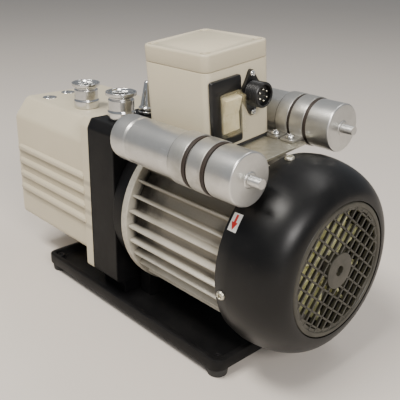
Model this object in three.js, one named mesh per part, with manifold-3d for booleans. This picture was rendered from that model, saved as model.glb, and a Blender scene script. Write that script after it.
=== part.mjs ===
// Rotary vane vacuum pump on a tray base: pump module with oil case, coupling housing, finned motor
// with a fan cowl, terminal box with switch and supply inlet, and two motor capacitors.
// Millimetres. X runs along the shaft (fan end at +X), Z is up, Z = 0 is the table.
import * as THREE from "three";
import { mergeVertices } from "three/addons/utils/BufferGeometryUtils.js";
import Module from "manifold-3d";

const wasm = await Module();
wasm.setup();

// ---- clearances ---------------------------------------------------------------------------------
const SEAT_GAP = 0.3; // between two pieces that are bolted or seated together
const HOLE_CLEARANCE = 0.3; // radial, round a screw, a plug or a spigot
const RUNNING_CLEARANCE = 0.4; // radial, round a turning or sliding piece
const PAST = 1; // how far a cut runs past the face that it opens, and a joined piece into its neighbour

// ---- shaft and pump plate: x = 0 is the plate's face towards the oil case -----------------------
const SHAFT_HEIGHT = 107;
const SHAFT_RADIUS = 8;
const SHAFT_JOIN_X = 46; // where the pump's shaft meets the motor's, inside the coupling
const PLATE_THICKNESS = 40;
const PLATE_HALF_WIDTH = 71;
const PLATE_BOTTOM = 28;
const PLATE_TOP = 194;
const PLATE_CORNER = { width: 5, drop: 9 };
const PLATE_FOOT = { y: 46, width: 28, setBack: 2 };
const LOWER_CORNER = 4;
const SEAL_BORE_RADIUS = 12;

// ---- base tray ----------------------------------------------------------------------------------
const BASE_BACK_X = -86;
const BASE_FRONT_X = 194;
const BASE_HALF_WIDTH = 78;
const BASE_UNDERSIDE = 8;
const BASE_FLOOR = 5;
const BASE_HEIGHT = 12;
const BASE_RIM = 6;
const BASE_CORNER_RADIUS = 10;
const FOOT_RADIUS = 10;
const FOOT_EDGE = 1.5;
const FOOT_INSET = 11;
const FOOT_SPIGOT_RADIUS = 4;

// ---- oil case -----------------------------------------------------------------------------------
const CASE_LENGTH = 153;
const CASE_HALF_WIDTH = 68;
const CASE_BOTTOM = 45;
const CASE_TOP = 186;
const CASE_SHOULDER = { width: 16, drop: 20 };
const CASE_WALL = 4;
const CASE_RIM = 12;
const GASKET_THICKNESS = 1;
const RIB_HEIGHTS = [130, 114, 98, 82];
const RIB = { out: 4, root: 9, tip: 4, fromEnd: 3 };
const SIGHT_GLASS = { radius: 14, spigot: 9, thickness: 4, edge: 1, z: 100 };
const DRAIN_PLUG = { across: 17, spigot: 6, height: 6, y: -32, z: 62 };
const TOP_PLUG = { radius: 8, proud: 0.8, depth: 5, slot: { half: 0.8, length: 12, depth: 1.6 } };
const FILL_PLUG_AT = [-130, -36];
const VENT_PLUG_AT = [-140, -6];

// ---- vacuum connections (small-flange fittings, 30 mm flange on a 16 mm bore) -------------------
const PORT = {
  height: 27, flange: 15, rim: 2.6, cone: 1.4, tube: 10, shoulder: 13.5, shoulderHeight: 8,
  bore: 8, recess: 8.7, recessDepth: 2.5, spigotDepth: 6,
};
const EXHAUST_AT = [-68, -27];
const INLET_AT = [20, -45];
const INLET_BORE_FLOOR = 150;
const BALLAST = {
  at: [20, -13], collar: 9, collarHeight: 7, edge: 1.5, tip: 3, height: 33, spigot: 5, depth: 8,
};

// ---- pump module --------------------------------------------------------------------------------
const ROTOR_RADIUS = 22;
const BORE_RADIUS = 28;
const TOP_SEAL_GAP = 1.6; // rotor to bore where they come closest
const PUMP_LENGTH = 75;
const PUMP_HALF_WIDTH = 42;
const PUMP_BOTTOM = 58;
const PUMP_TOP = 152;
const PUMP_CORNER = { width: 8, drop: 8 };
const END_COVER = 9;
const VANE = { thickness: 5, root: 7, side: 0.2, tipBelow: 0.2 };

// ---- coupling housing and coupling --------------------------------------------------------------
const HOUSING_LENGTH = 22;
const HOUSING_RADIUS = 74;
const HOUSING_WALL = 12;
const HOUSING_LEG = { y: 34, width: 18, setBack: 3 };
const COUPLING_RADIUS = 24;
const COUPLING_END_GAP = 1.5;

// ---- motor, turned a little about the shaft -----------------------------------------------------
const MOTOR_TURN = THREE.MathUtils.degToRad(6);
const SHIELD_RADIUS = 80;
const SHIELD_DEPTH = 8;
const SHIELD_DISC = 5;
const SHIELD_LIP = { outside: 2, inside: 3 };
const REAR_SHIELD = { depth: 12, disc: 2, rim: 9 };
const BARREL_RADIUS = 69;
const BARREL_WALL = 4;
const BARREL_END_X = 196;
const FIN_RADIUS = 78;
const FIN_COUNT = 32;
const FIN_THICKNESS = 2.4;
const PAD = { half: 30, top: 80.4, fromX: 78, toX: 142 };
const CABLE_HOLE = 11;
const BEARING = { outer: 17, width: 11, hubWall: 5, shoulder: 2 };
const SHAFT_OPENING = 3; // radial, round the shaft in each end shield
const STACK = { fromX: 95, toX: 150, bore: BARREL_RADIUS - 28.4, airGap: 0.6 };
const WINDING = { overhang: 13, inner: BARREL_RADIUS - 25, outer: BARREL_RADIUS - 9 };

// ---- fan and cowl -------------------------------------------------------------------------------
const COWL_FROM_X = 194;
const COWL_WIDEST_X = 206;
const COWL_END_X = 254;
const COWL_MOUTH_RADIUS = 85;
const COWL_RADIUS = 87;
const COWL_OPENING = 60;
const COWL_WALL = 2;
const COWL_STEPS = { outer: 5, inner: 3 };
const COWL_SCREW = { x: 203, turns: [2, 92, 182, 272], shank: 2, head: 4.2, height: 2.8, depth: 6 };
const GRILLE = { depth: 4, rim: 8, bar: 2, barInset: 0.8, pitch: 20, hub: 17, hole: 4.5, seat: 0.8 };
const FAN = { radius: 56, hub: 14, disc: 3, backX: 214, depth: 24, blades: 10, blade: 2.5 };

// ---- terminal box, heights measured from the shaft axis -----------------------------------------
const BRACKET_THICKNESS = 2.5;
const BOX_GASKET = 2;
const BOX = { fromX: 66, toX: 146, half: 38, seam: 155, top: 170, wall: 3, corner: 6 };
const BOX_BOSS = { radius: 5, depth: 6.5 };
const LID_WELL = { boss: 6.4, bore: 4.4, depth: 4 };
const LID_SCREW = { inset: 7.5, shank: 1.6, head: 3.8, height: 2.4, depth: 6 };
const SWITCH = {
  y: [-36, -1], z: [90, 148], plate: 3.2, depth: 14, window: { y: [-25, -4], z: [100, 134] }, lip: 3,
  floor: 2,
};
const ROCKER = {
  side: 1, half: 15.5, valley: 5.5, crest: 8, back: 5, backHalf: 6, tipWidth: 0.5, setBack: 2,
  tilt: THREE.MathUtils.degToRad(8),
};
const BOOT = { margin: 2, depth: 9.2, wall: 1.2 };
const INLET = {
  y: 12, z: 129, flange: 12, lug: 20, lugHalf: 6.5, plate: 3, barrel: 11, length: 14, bore: 8.6, recess: 4,
};
const PIN = { count: 6, circle: 4.8, radius: 0.9, below: 0.8 };
const INLET_SCREW = { spacing: 33, shank: 1.4, head: 2.8, height: 1.8, depth: 5 };

// ---- capacitors and their clamps ----------------------------------------------------------------
const BRACKET = { half: 42, fromX: 72, toX: 184 };
const BAND = { wall: 1.4, tab: 2.2, toBracket: 1.1 };
const CAN_RADIUS = 20.5;
const CAN = {
  radius: CAN_RADIUS, y: BRACKET.half + BAND.toBracket + BAND.wall + CAN_RADIUS, z: 94, length: 151,
  cap: 27, capRadius: CAN_RADIUS + 1, edge: 1, stud: 4, studLength: 12, dome: [[0, 6], [2, 2], [6, 0]],
};
const NEAR_CAN_X = 66;
const FAR_CAN_X = 54;
const NEAR_BANDS = [[149, 165], [171, 186]];
const FAR_BANDS = [[147.5, 160.5], [163.5, 178]];
const CLAMP_SCREW = { y: 36, shank: 2, head: 4.2, height: 3, depth: 1.5, edge: 5 };

const PAINT = { color: 0xc8bfa8, roughness: 0.5, metalness: 0 };
const BLACK_METAL = { color: 0x17171a, roughness: 0.45, metalness: 0.2 };
const BLACK_PLASTIC = { color: 0x121214, roughness: 0.5, metalness: 0 };
const CAST_ALUMINIUM = { color: 0xa9a493, roughness: 0.5, metalness: 0.8 };
const BRIGHT_STEEL = { color: 0xc9cdd0, roughness: 0.2, metalness: 1 };
const ZINC = { color: 0xb4b2a0, roughness: 0.4, metalness: 0.9 };
const SPUN_ALUMINIUM = { color: 0xb9b8b3, roughness: 0.35, metalness: 0.9 };
const RUBBER = { color: 0x1a1a1a, roughness: 0.9, metalness: 0 };
const IRON = { color: 0x55555a, roughness: 0.6, metalness: 0.7 };

// sides of a round shape
const FINE = 24;
const COARSE = 12;
const SCREW_SIDES = 10;
const HOLE_SIDES = 8;

// ---- solids -------------------------------------------------------------------------------------

/** A closed geometry as a solid with its faces pointing out. */
function solid(geometry) {
  const bare = geometry.clone();
  bare.deleteAttribute("normal");
  bare.deleteAttribute("uv");
  const merged = mergeVertices(bare, 1e-4);
  const points = merged.attributes.position.array;
  const corners = [];
  let volume = 0;
  for (let i = 0; i < merged.index.count; i += 3) {
    const [a, b, c] = merged.index.array.slice(i, i + 3);
    if (a === b || b === c || c === a) continue;
    corners.push([a, b, c]);
    const p = [a, b, c].map((k) => new THREE.Vector3().fromArray(points, 3 * k));
    volume += p[0].dot(p[1].cross(p[2]));
  }
  const outward = volume > 0 ? corners : corners.map(([a, b, c]) => [a, c, b]);
  return new wasm.Manifold(new wasm.Mesh({
    numProp: 3,
    vertProperties: Float32Array.from(points),
    triVerts: Uint32Array.from(outward.flat()),
  }));
}

function block([x0, x1], [y0, y1], [z0, z1]) {
  const box = new THREE.BoxGeometry(x1 - x0, y1 - y0, z1 - z0);
  return solid(box.translate((x0 + x1) / 2, (y0 + y1) / 2, (z0 + z1) / 2));
}

/** An outline of [y, z] points carried along X. */
function prismX(outline, [x0, x1]) {
  const shape = new THREE.Shape(outline.map(([y, z]) => new THREE.Vector2(y, z)));
  const bar = new THREE.ExtrudeGeometry(shape, { depth: x1 - x0, bevelEnabled: false });
  const toX = new THREE.Matrix4().makeBasis(
    new THREE.Vector3(0, 1, 0), new THREE.Vector3(0, 0, 1), new THREE.Vector3(1, 0, 0));
  return solid(bar.applyMatrix4(toX).translate(x0, 0, 0));
}

/** An outline of [x, y] points carried up Z. */
function prismZ(outline, [z0, z1]) {
  const shape = new THREE.Shape(outline.map(([x, y]) => new THREE.Vector2(x, y)));
  const bar = new THREE.ExtrudeGeometry(shape, { depth: z1 - z0, bevelEnabled: false });
  return solid(bar.translate(0, 0, z0));
}

/** An outline of [x, z] points carried along Y. */
function prismY(outline, [y0, y1]) {
  const shape = new THREE.Shape(outline.map(([x, z]) => new THREE.Vector2(x, z)));
  const bar = new THREE.ExtrudeGeometry(shape, { depth: y1 - y0, bevelEnabled: false });
  return solid(bar.rotateX(Math.PI / 2).translate(0, y1, 0));
}

function lathe(profile, sides) {
  return new THREE.LatheGeometry(profile.map(([along, radius]) => new THREE.Vector2(radius, along)), sides);
}

function grown([low, high], by) {
  return [low - by, high + by];
}

/** A profile of [x, radius] points turned about X; a profile that meets no axis closes on itself. */
function turnedX(profile, sides = FINE, [y, z] = [0, 0]) {
  return solid(lathe(profile, sides).rotateZ(-Math.PI / 2).translate(0, y, z));
}

/** A profile of [z, radius] points turned about Z. */
function turnedZ(profile, sides = FINE, [x, y] = [0, 0]) {
  return solid(lathe(profile, sides).rotateX(Math.PI / 2).translate(x, y, 0));
}

function closed(profile) {
  return [...profile, profile[0]];
}

function rodX(radius, [x0, x1], centre, sides = COARSE) {
  return turnedX([[x0, 0], [x0, radius], [x1, radius], [x1, 0]], sides, centre);
}

function rodZ(radius, [z0, z1], centre, sides = COARSE) {
  return turnedZ([[z0, 0], [z0, radius], [z1, radius], [z1, 0]], sides, centre);
}

function tubeX(inner, outer, [x0, x1], centre, sides = FINE) {
  return turnedX(closed([[x0, inner], [x0, outer], [x1, outer], [x1, inner]]), sides, centre);
}

/** A pan head on its seat, and its shank back to its point, as [along, radius]. */
function screwProfile({ shank, head, height }, point, seat) {
  const crown = seat + height;
  return [
    [point, 0], [point, shank], [seat, shank], [seat, head],
    [seat + height / 2, head], [crown, head / 2], [crown, 0],
  ];
}

/** Corner points of a rectangle with round corners, counter-clockwise. */
function roundedRectangle([x0, x1], [y0, y1], radius, steps = 2) {
  const centres = [[x1, y1, 0], [x0, y1, 1], [x0, y0, 2], [x1, y0, 3]];
  return centres.flatMap(([x, y, quarter]) => {
    const cx = x === x1 ? x1 - radius : x0 + radius;
    const cy = y === y1 ? y1 - radius : y0 + radius;
    return Array.from({ length: steps + 1 }, (_, i) => {
      const angle = (quarter + i / steps) * Math.PI / 2;
      return [cx + radius * Math.cos(angle), cy + radius * Math.sin(angle)];
    });
  });
}

/** A plate or case outline in [y, z]: upper corners cut by width and drop. */
function housingOutline(half, bottom, top, corner, inset = 0) {
  const slope = Math.hypot(corner.width, corner.drop);
  const cut = inset * (slope - corner.width) / corner.drop;
  const sideTop = top - corner.drop - cut;
  const flat = half - corner.width - inset * (slope - corner.drop) / corner.width;
  const right = [
    [half - LOWER_CORNER, bottom + inset],
    [half - inset, bottom + LOWER_CORNER],
    [half - inset, sideTop],
    [flat, top - inset],
  ];
  return [...right, ...right.map(([y, z]) => [-y, z]).reverse()];
}

// ---- pump and motor groups ----------------------------------------------------------------------

const pump = new THREE.Group();
const motor = new THREE.Group();
motor.position.z = SHAFT_HEIGHT;
motor.rotation.x = MOTOR_TURN;
pump.add(motor);
const onAxis = [0, SHAFT_HEIGHT];

function place(group, name, shape, finish) {
  const { vertProperties, triVerts } = shape.getMesh();
  const geometry = new THREE.BufferGeometry();
  geometry.setAttribute("position", new THREE.BufferAttribute(new Float32Array(vertProperties), 3));
  geometry.setIndex(new THREE.BufferAttribute(new Uint32Array(triVerts), 1));
  geometry.computeVertexNormals();
  const mesh = new THREE.Mesh(geometry, new THREE.MeshStandardMaterial(finish));
  mesh.name = name;
  group.add(mesh);
}

// ---- base tray and feet -------------------------------------------------------------------------

const trayFloor = BASE_UNDERSIDE + BASE_FLOOR;

function footPlaces() {
  const y = BASE_HALF_WIDTH - FOOT_INSET;
  return [BASE_BACK_X + FOOT_INSET, BASE_FRONT_X - FOOT_INSET].flatMap((x) => [[x, -y], [x, y]]);
}

function basePlate() {
  const outer = roundedRectangle(
    [BASE_BACK_X, BASE_FRONT_X], [-BASE_HALF_WIDTH, BASE_HALF_WIDTH], BASE_CORNER_RADIUS);
  const inner = roundedRectangle(
    [BASE_BACK_X + BASE_RIM, BASE_FRONT_X - BASE_RIM],
    [-BASE_HALF_WIDTH + BASE_RIM, BASE_HALF_WIDTH - BASE_RIM], BASE_CORNER_RADIUS - BASE_RIM / 2);
  let tray = prismZ(outer, [BASE_UNDERSIDE, BASE_UNDERSIDE + BASE_HEIGHT]);
  tray = tray.subtract(prismZ(inner, [trayFloor, BASE_UNDERSIDE + BASE_HEIGHT + PAST]));
  for (const at of footPlaces()) {
    const hole = rodZ(FOOT_SPIGOT_RADIUS + HOLE_CLEARANCE, [0, trayFloor + PAST], at, HOLE_SIDES);
    tray = tray.subtract(hole);
  }
  return tray;
}

function rubberFoot(at) {
  const top = BASE_UNDERSIDE - SEAT_GAP;
  const spigotTop = trayFloor - FOOT_EDGE;
  return turnedZ([
    [0, 0], [0, FOOT_RADIUS - FOOT_EDGE], [FOOT_EDGE, FOOT_RADIUS], [top, FOOT_RADIUS - FOOT_EDGE],
    [top, FOOT_SPIGOT_RADIUS], [spigotTop, FOOT_SPIGOT_RADIUS], [spigotTop, 0],
  ], COARSE, at);
}

place(pump, "base_plate", basePlate(), BLACK_METAL);
footPlaces().forEach((at, i) => place(pump, `rubber_foot_${i + 1}`, rubberFoot(at), RUBBER));

// ---- pump plate ---------------------------------------------------------------------------------

const plateOutline = housingOutline(PLATE_HALF_WIDTH, PLATE_BOTTOM, PLATE_TOP, PLATE_CORNER);

function pumpPlate() {
  let plate = prismX(plateOutline, [0, PLATE_THICKNESS]);
  for (const side of [-1, 1]) {
    const y = side * PLATE_FOOT.y;
    const half = PLATE_FOOT.width / 2;
    const x = [PLATE_FOOT.setBack, PLATE_THICKNESS - PLATE_FOOT.setBack];
    plate = plate.add(block(x, [y - half, y + half], [trayFloor + SEAT_GAP, PLATE_BOTTOM + PAST]));
  }
  const portBottom = PLATE_TOP - PORT.spigotDepth - PAST;
  const ballastHole = [PLATE_TOP - BALLAST.depth - PAST, PLATE_TOP + PAST];
  return plate
    .subtract(rodX(SEAL_BORE_RADIUS, [-PAST, PLATE_THICKNESS + PAST], onAxis, FINE))
    .subtract(rodZ(PORT.tube + HOLE_CLEARANCE, [portBottom, PLATE_TOP + PAST], INLET_AT, FINE))
    .subtract(rodZ(PORT.bore, [INLET_BORE_FLOOR, PLATE_TOP], INLET_AT, FINE))
    .subtract(rodZ(BALLAST.spigot + RUNNING_CLEARANCE, ballastHole, BALLAST.at));
}

place(pump, "pump_plate", pumpPlate(), BLACK_METAL);

// ---- oil case with its glass and plugs ----------------------------------------------------------

const rimBack = -SEAT_GAP - GASKET_THICKNESS - SEAT_GAP;
const rimFront = rimBack - CASE_RIM;
const caseEnd = -CASE_LENGTH;
const cavityOutline = housingOutline(CASE_HALF_WIDTH, CASE_BOTTOM, CASE_TOP, CASE_SHOULDER, CASE_WALL);

function oilCase() {
  const caseOutline = housingOutline(CASE_HALF_WIDTH, CASE_BOTTOM, CASE_TOP, CASE_SHOULDER);
  let shell = prismX(caseOutline, [caseEnd, rimFront + PAST]);
  shell = shell.add(prismX(plateOutline, [rimFront, rimBack]));
  for (const z of RIB_HEIGHTS) {
    for (const side of [-1, 1]) {
      const face = side * (CASE_HALF_WIDTH - PAST);
      const crest = side * (CASE_HALF_WIDTH + RIB.out);
      const section = [
        [face, z - RIB.root / 2], [crest, z - RIB.tip / 2],
        [crest, z + RIB.tip / 2], [face, z + RIB.root / 2],
      ];
      shell = shell.add(prismX(section, [caseEnd + RIB.fromEnd, rimFront + PAST]));
    }
  }
  const throughEnd = [caseEnd - PAST, caseEnd + CASE_WALL + PAST];
  const throughTop = [CASE_TOP - CASE_WALL - PAST, CASE_TOP + PAST];
  return shell
    .subtract(prismX(cavityOutline, [caseEnd + CASE_WALL, rimBack + PAST]))
    .subtract(rodX(SIGHT_GLASS.spigot, throughEnd, [0, SIGHT_GLASS.z]))
    .subtract(rodX(DRAIN_PLUG.spigot, throughEnd, [DRAIN_PLUG.y, DRAIN_PLUG.z]))
    .subtract(rodZ(TOP_PLUG.radius + HOLE_CLEARANCE, throughTop, FILL_PLUG_AT, FINE))
    .subtract(rodZ(TOP_PLUG.radius + HOLE_CLEARANCE, throughTop, VENT_PLUG_AT, FINE))
    .subtract(rodZ(PORT.tube + HOLE_CLEARANCE, throughTop, EXHAUST_AT, FINE));
}

function oilCaseGasket() {
  const sheet = prismX(plateOutline, [-SEAT_GAP - GASKET_THICKNESS, -SEAT_GAP]);
  return sheet.subtract(prismX(cavityOutline, [-CASE_RIM, PAST]));
}

function sightGlass() {
  const face = caseEnd - SEAT_GAP;
  const front = face - SIGHT_GLASS.thickness;
  const spigot = SIGHT_GLASS.spigot - HOLE_CLEARANCE;
  return turnedX([
    [front, 0], [front, SIGHT_GLASS.radius - SIGHT_GLASS.edge],
    [front + SIGHT_GLASS.edge, SIGHT_GLASS.radius], [face, SIGHT_GLASS.radius], [face, spigot],
    [caseEnd + CASE_WALL, spigot], [caseEnd + CASE_WALL, 0],
  ], COARSE, [0, SIGHT_GLASS.z]);
}

function drainPlug() {
  const face = caseEnd - SEAT_GAP;
  const centre = [DRAIN_PLUG.y, DRAIN_PLUG.z];
  const head = rodX(DRAIN_PLUG.across / Math.sqrt(3), [face - DRAIN_PLUG.height, face], centre, 6);
  const shank = rodX(DRAIN_PLUG.spigot - HOLE_CLEARANCE, [face - PAST, caseEnd + CASE_WALL], centre);
  return head.add(shank);
}

function topPlug(at) {
  const crown = CASE_TOP + TOP_PLUG.proud;
  const plug = rodZ(TOP_PLUG.radius, [CASE_TOP - TOP_PLUG.depth, crown], at, COARSE);
  const [x, y] = at;
  const { half, length, depth } = TOP_PLUG.slot;
  const slotX = [x - length / 2, x + length / 2];
  return plug.subtract(block(slotX, [y - half, y + half], [crown - depth, crown + PAST]));
}

place(pump, "oil_case", oilCase(), PAINT);
place(pump, "oil_case_gasket", oilCaseGasket(), RUBBER);
place(pump, "oil_sight_glass", sightGlass(), { color: 0xd8c98a, roughness: 0.1, metalness: 0 });
place(pump, "oil_drain_plug", drainPlug(), BRIGHT_STEEL);
place(pump, "oil_fill_plug", topPlug(FILL_PLUG_AT), BRIGHT_STEEL);
place(pump, "oil_vent_plug", topPlug(VENT_PLUG_AT), BRIGHT_STEEL);

// ---- vacuum connections and the gas ballast knob ------------------------------------------------

/** A flanged port seated on a face at height base, with a spigot down into it. */
function flangedPort(base, at) {
  const seat = base + SEAT_GAP;
  const top = base + PORT.height;
  return turnedZ(closed([
    [base - PORT.spigotDepth, PORT.bore], [base - PORT.spigotDepth, PORT.tube], [seat, PORT.tube],
    [seat, PORT.shoulder], [base + PORT.shoulderHeight, PORT.shoulder],
    [base + PORT.shoulderHeight + PORT.cone, PORT.tube], [top - PORT.rim - PORT.cone, PORT.tube],
    [top - PORT.rim, PORT.flange], [top, PORT.flange], [top, PORT.recess],
    [top - PORT.recessDepth, PORT.recess], [top - PORT.recessDepth, PORT.bore],
  ]), FINE, at);
}

function ballastKnob() {
  const seat = PLATE_TOP + SEAT_GAP;
  const shoulder = PLATE_TOP + BALLAST.collarHeight;
  const crown = PLATE_TOP + BALLAST.height;
  return turnedZ([
    [PLATE_TOP - BALLAST.depth, 0], [PLATE_TOP - BALLAST.depth, BALLAST.spigot], [seat, BALLAST.spigot],
    [seat, BALLAST.collar], [shoulder, BALLAST.collar],
    [shoulder + BALLAST.edge, BALLAST.collar - BALLAST.edge],
    [crown - BALLAST.edge, BALLAST.tip], [crown, BALLAST.tip - BALLAST.edge], [crown, 0],
  ], COARSE, BALLAST.at);
}

place(pump, "exhaust_port", flangedPort(CASE_TOP, EXHAUST_AT), BRIGHT_STEEL);
place(pump, "inlet_port", flangedPort(PLATE_TOP, INLET_AT), BRIGHT_STEEL);
place(pump, "gas_ballast_knob", ballastKnob(), BRIGHT_STEEL);

// ---- pump module: eccentric bore, end cover, rotor and vanes ------------------------------------

const boreAxis = [0, SHAFT_HEIGHT - (BORE_RADIUS - ROTOR_RADIUS - TOP_SEAL_GAP)];
const pumpSpan = [-PUMP_LENGTH, -SEAT_GAP];
const rotorSpan = [-PUMP_LENGTH + RUNNING_CLEARANCE, -SEAT_GAP - RUNNING_CLEARANCE];
const coverSpan = [-PUMP_LENGTH - SEAT_GAP - END_COVER, -PUMP_LENGTH - SEAT_GAP];
const pumpOutline = housingOutline(PUMP_HALF_WIDTH, PUMP_BOTTOM, PUMP_TOP, PUMP_CORNER);
const journalEnd = coverSpan[1] - END_COVER / 2;

function pumpStator() {
  return prismX(pumpOutline, pumpSpan)
    .subtract(rodX(BORE_RADIUS, [-PUMP_LENGTH - PAST, PAST], boreAxis, FINE));
}

function pumpEndCover() {
  const socket = [journalEnd - RUNNING_CLEARANCE, coverSpan[1] + PAST];
  return prismX(pumpOutline, coverSpan)
    .subtract(rodX(SHAFT_RADIUS + RUNNING_CLEARANCE, socket, onAxis, COARSE));
}

function pumpRotor() {
  const slot = VANE.thickness / 2 + VANE.side;
  const drum = rodX(ROTOR_RADIUS, rotorSpan, onAxis, FINE);
  let rotor = drum.add(rodX(SHAFT_RADIUS, [journalEnd, SHAFT_JOIN_X - SEAT_GAP], onAxis, COARSE));
  for (const side of [-1, 1]) {
    const reach = [VANE.root - SEAT_GAP, ROTOR_RADIUS + PAST].map((r) => SHAFT_HEIGHT + side * r);
    rotor = rotor.subtract(block(grown(rotorSpan, VANE.side), [-slot, slot], reach.sort((a, b) => a - b)));
  }
  return rotor;
}

function vane(side) {
  const reach = [VANE.root, ROTOR_RADIUS - VANE.tipBelow].map((r) => SHAFT_HEIGHT + side * r);
  const half = VANE.thickness / 2;
  return block(rotorSpan, [-half, half], reach.sort((a, b) => a - b));
}

place(pump, "pump_stator", pumpStator(), IRON);
place(pump, "pump_end_cover", pumpEndCover(), IRON);
place(pump, "pump_rotor", pumpRotor(), IRON);
place(pump, "vane_1", vane(1), { color: 0x3a3026, roughness: 0.7, metalness: 0 });
place(pump, "vane_2", vane(-1), { color: 0x3a3026, roughness: 0.7, metalness: 0 });

// ---- coupling housing and coupling --------------------------------------------------------------

const housingSpan = [PLATE_THICKNESS + SEAT_GAP, PLATE_THICKNESS + HOUSING_LENGTH - SEAT_GAP];
const shieldX = PLATE_THICKNESS + HOUSING_LENGTH;

function couplingHousing() {
  let ring = tubeX(HOUSING_RADIUS - HOUSING_WALL, HOUSING_RADIUS, housingSpan, onAxis);
  const legTop = SHAFT_HEIGHT - HOUSING_RADIUS + HOUSING_WALL;
  for (const side of [-1, 1]) {
    const y = side * HOUSING_LEG.y;
    const half = HOUSING_LEG.width / 2;
    const legX = grown(housingSpan, -HOUSING_LEG.setBack);
    ring = ring.add(block(legX, [y - half, y + half], [trayFloor + SEAT_GAP, legTop]));
  }
  return ring;
}

function driveCoupling() {
  const span = grown(housingSpan, -COUPLING_END_GAP);
  return tubeX(SHAFT_RADIUS + SEAT_GAP, COUPLING_RADIUS, span, onAxis, COARSE);
}

place(pump, "coupling_housing", couplingHousing(), BLACK_METAL);
place(pump, "drive_coupling", driveCoupling(), RUBBER);

// ---- motor: end shields, finned barrel, stator, bearings, rotor ---------------------------------

const boxCentre = [(BOX.fromX + BOX.toX) / 2, 0];
const shieldBack = shieldX + SHIELD_DEPTH;
const barrelX = shieldBack + SEAT_GAP;
const bearingSeat = BEARING.outer + SEAT_GAP;
const frontBearing = [shieldX + BEARING.shoulder, shieldX + BEARING.shoulder + BEARING.width];
const rearShieldX = BARREL_END_X + SEAT_GAP;
const rearBearingX = rearShieldX - 2 * BEARING.shoulder;
const rearBearing = [rearBearingX, rearBearingX + BEARING.width];
const bearingHub = bearingSeat + BEARING.hubWall;
const shaftOpening = SHAFT_RADIUS + SHAFT_OPENING;

function driveEndShield() {
  const discBack = shieldX + SHIELD_DISC;
  const bearingFace = frontBearing[0] - SEAT_GAP;
  return turnedX(closed([
    [shieldX, shaftOpening], [shieldX, SHIELD_RADIUS], [shieldBack, SHIELD_RADIUS],
    [shieldBack, BARREL_RADIUS + SHIELD_LIP.outside], [discBack, BARREL_RADIUS - SHIELD_LIP.inside],
    [discBack, bearingHub], [frontBearing[1], bearingHub], [frontBearing[1], bearingSeat],
    [bearingFace, bearingSeat], [bearingFace, shaftOpening],
  ]));
}

function motorBarrel() {
  let barrel = rodX(BARREL_RADIUS, [barrelX, BARREL_END_X], [0, 0], FINE);
  for (let i = 0; i < FIN_COUNT; i++) {
    const fin = block([barrelX, BARREL_END_X], [-FIN_THICKNESS / 2, FIN_THICKNESS / 2],
      [BARREL_RADIUS - BARREL_WALL / 2, FIN_RADIUS]);
    barrel = barrel.add(fin.rotate([(i + 0.5) * 360 / FIN_COUNT, 0, 0]));
  }
  return barrel
    .add(block([PAD.fromX, PAD.toX], [-PAD.half, PAD.half], [BARREL_WALL, PAD.top]))
    .subtract(rodX(BARREL_RADIUS - BARREL_WALL, [barrelX - PAST, BARREL_END_X + PAST], [0, 0], FINE))
    .subtract(rodZ(CABLE_HOLE, [BARREL_RADIUS / 2, PAD.top + PAST], boxCentre));
}

function statorCore() {
  const outer = BARREL_RADIUS - BARREL_WALL - RUNNING_CLEARANCE;
  const [x0, x1] = [STACK.fromX, STACK.toX];
  const [from, to] = grown([x0, x1], WINDING.overhang);
  return turnedX(closed([
    [from, WINDING.inner], [from, WINDING.outer], [x0, WINDING.outer], [x0, outer],
    [x1, outer], [x1, WINDING.outer], [to, WINDING.outer], [to, WINDING.inner],
    [x1, WINDING.inner], [x1, STACK.bore], [x0, STACK.bore], [x0, WINDING.inner],
  ]));
}

function ballBearing(span) {
  return tubeX(SHAFT_RADIUS + RUNNING_CLEARANCE, BEARING.outer, span, [0, 0], COARSE);
}

function motorRotor() {
  const fanEnd = FAN.backX + FAN.depth + PAST;
  const shaft = rodX(SHAFT_RADIUS, [SHAFT_JOIN_X + SEAT_GAP, fanEnd], onAxis, COARSE);
  return shaft.add(rodX(STACK.bore - STACK.airGap, [STACK.fromX, STACK.toX], onAxis, FINE));
}

const rearRim = COWL_MOUTH_RADIUS - COWL_WALL - RUNNING_CLEARANCE;

function cowlScrewTurns(shape) {
  return COWL_SCREW.turns.map((degrees) => shape.rotate([degrees, 0, 0]));
}

function drilledForCowlScrews(shape) {
  const reach = [rearRim - COWL_SCREW.depth - PAST, COWL_RADIUS + PAST];
  const hole = rodZ(COWL_SCREW.shank + HOLE_CLEARANCE, reach, [COWL_SCREW.x, 0], HOLE_SIDES);
  return cowlScrewTurns(hole).reduce((rest, cut) => rest.subtract(cut), shape);
}

function rearEndShield() {
  const [bearingFrom, bearingTo] = rearBearing;
  const discFace = rearShieldX + REAR_SHIELD.disc;
  const front = rearShieldX + REAR_SHIELD.depth;
  const rimInside = rearRim - REAR_SHIELD.rim;
  const bearingFace = bearingTo + SEAT_GAP;
  return drilledForCowlScrews(turnedX(closed([
    [bearingFrom, bearingSeat], [bearingFrom, bearingHub], [discFace, bearingHub], [discFace, rimInside],
    [rearShieldX, rimInside], [rearShieldX, rearRim], [front, rearRim], [front, shaftOpening],
    [bearingFace, shaftOpening], [bearingFace, bearingSeat],
  ])));
}

place(motor, "drive_end_shield", driveEndShield(), CAST_ALUMINIUM);
place(motor, "motor_housing", motorBarrel(), CAST_ALUMINIUM);
place(motor, "stator_core", statorCore(), { color: 0x8a4b2a, roughness: 0.6, metalness: 0.4 });
place(motor, "front_bearing", ballBearing(frontBearing), BRIGHT_STEEL);
place(motor, "rear_bearing", ballBearing(rearBearing), BRIGHT_STEEL);
place(motor, "rear_end_shield", rearEndShield(), CAST_ALUMINIUM);
place(pump, "motor_rotor", motorRotor(), IRON);

// ---- fan, cowl, grille, cowl screws -------------------------------------------------------------

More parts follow.
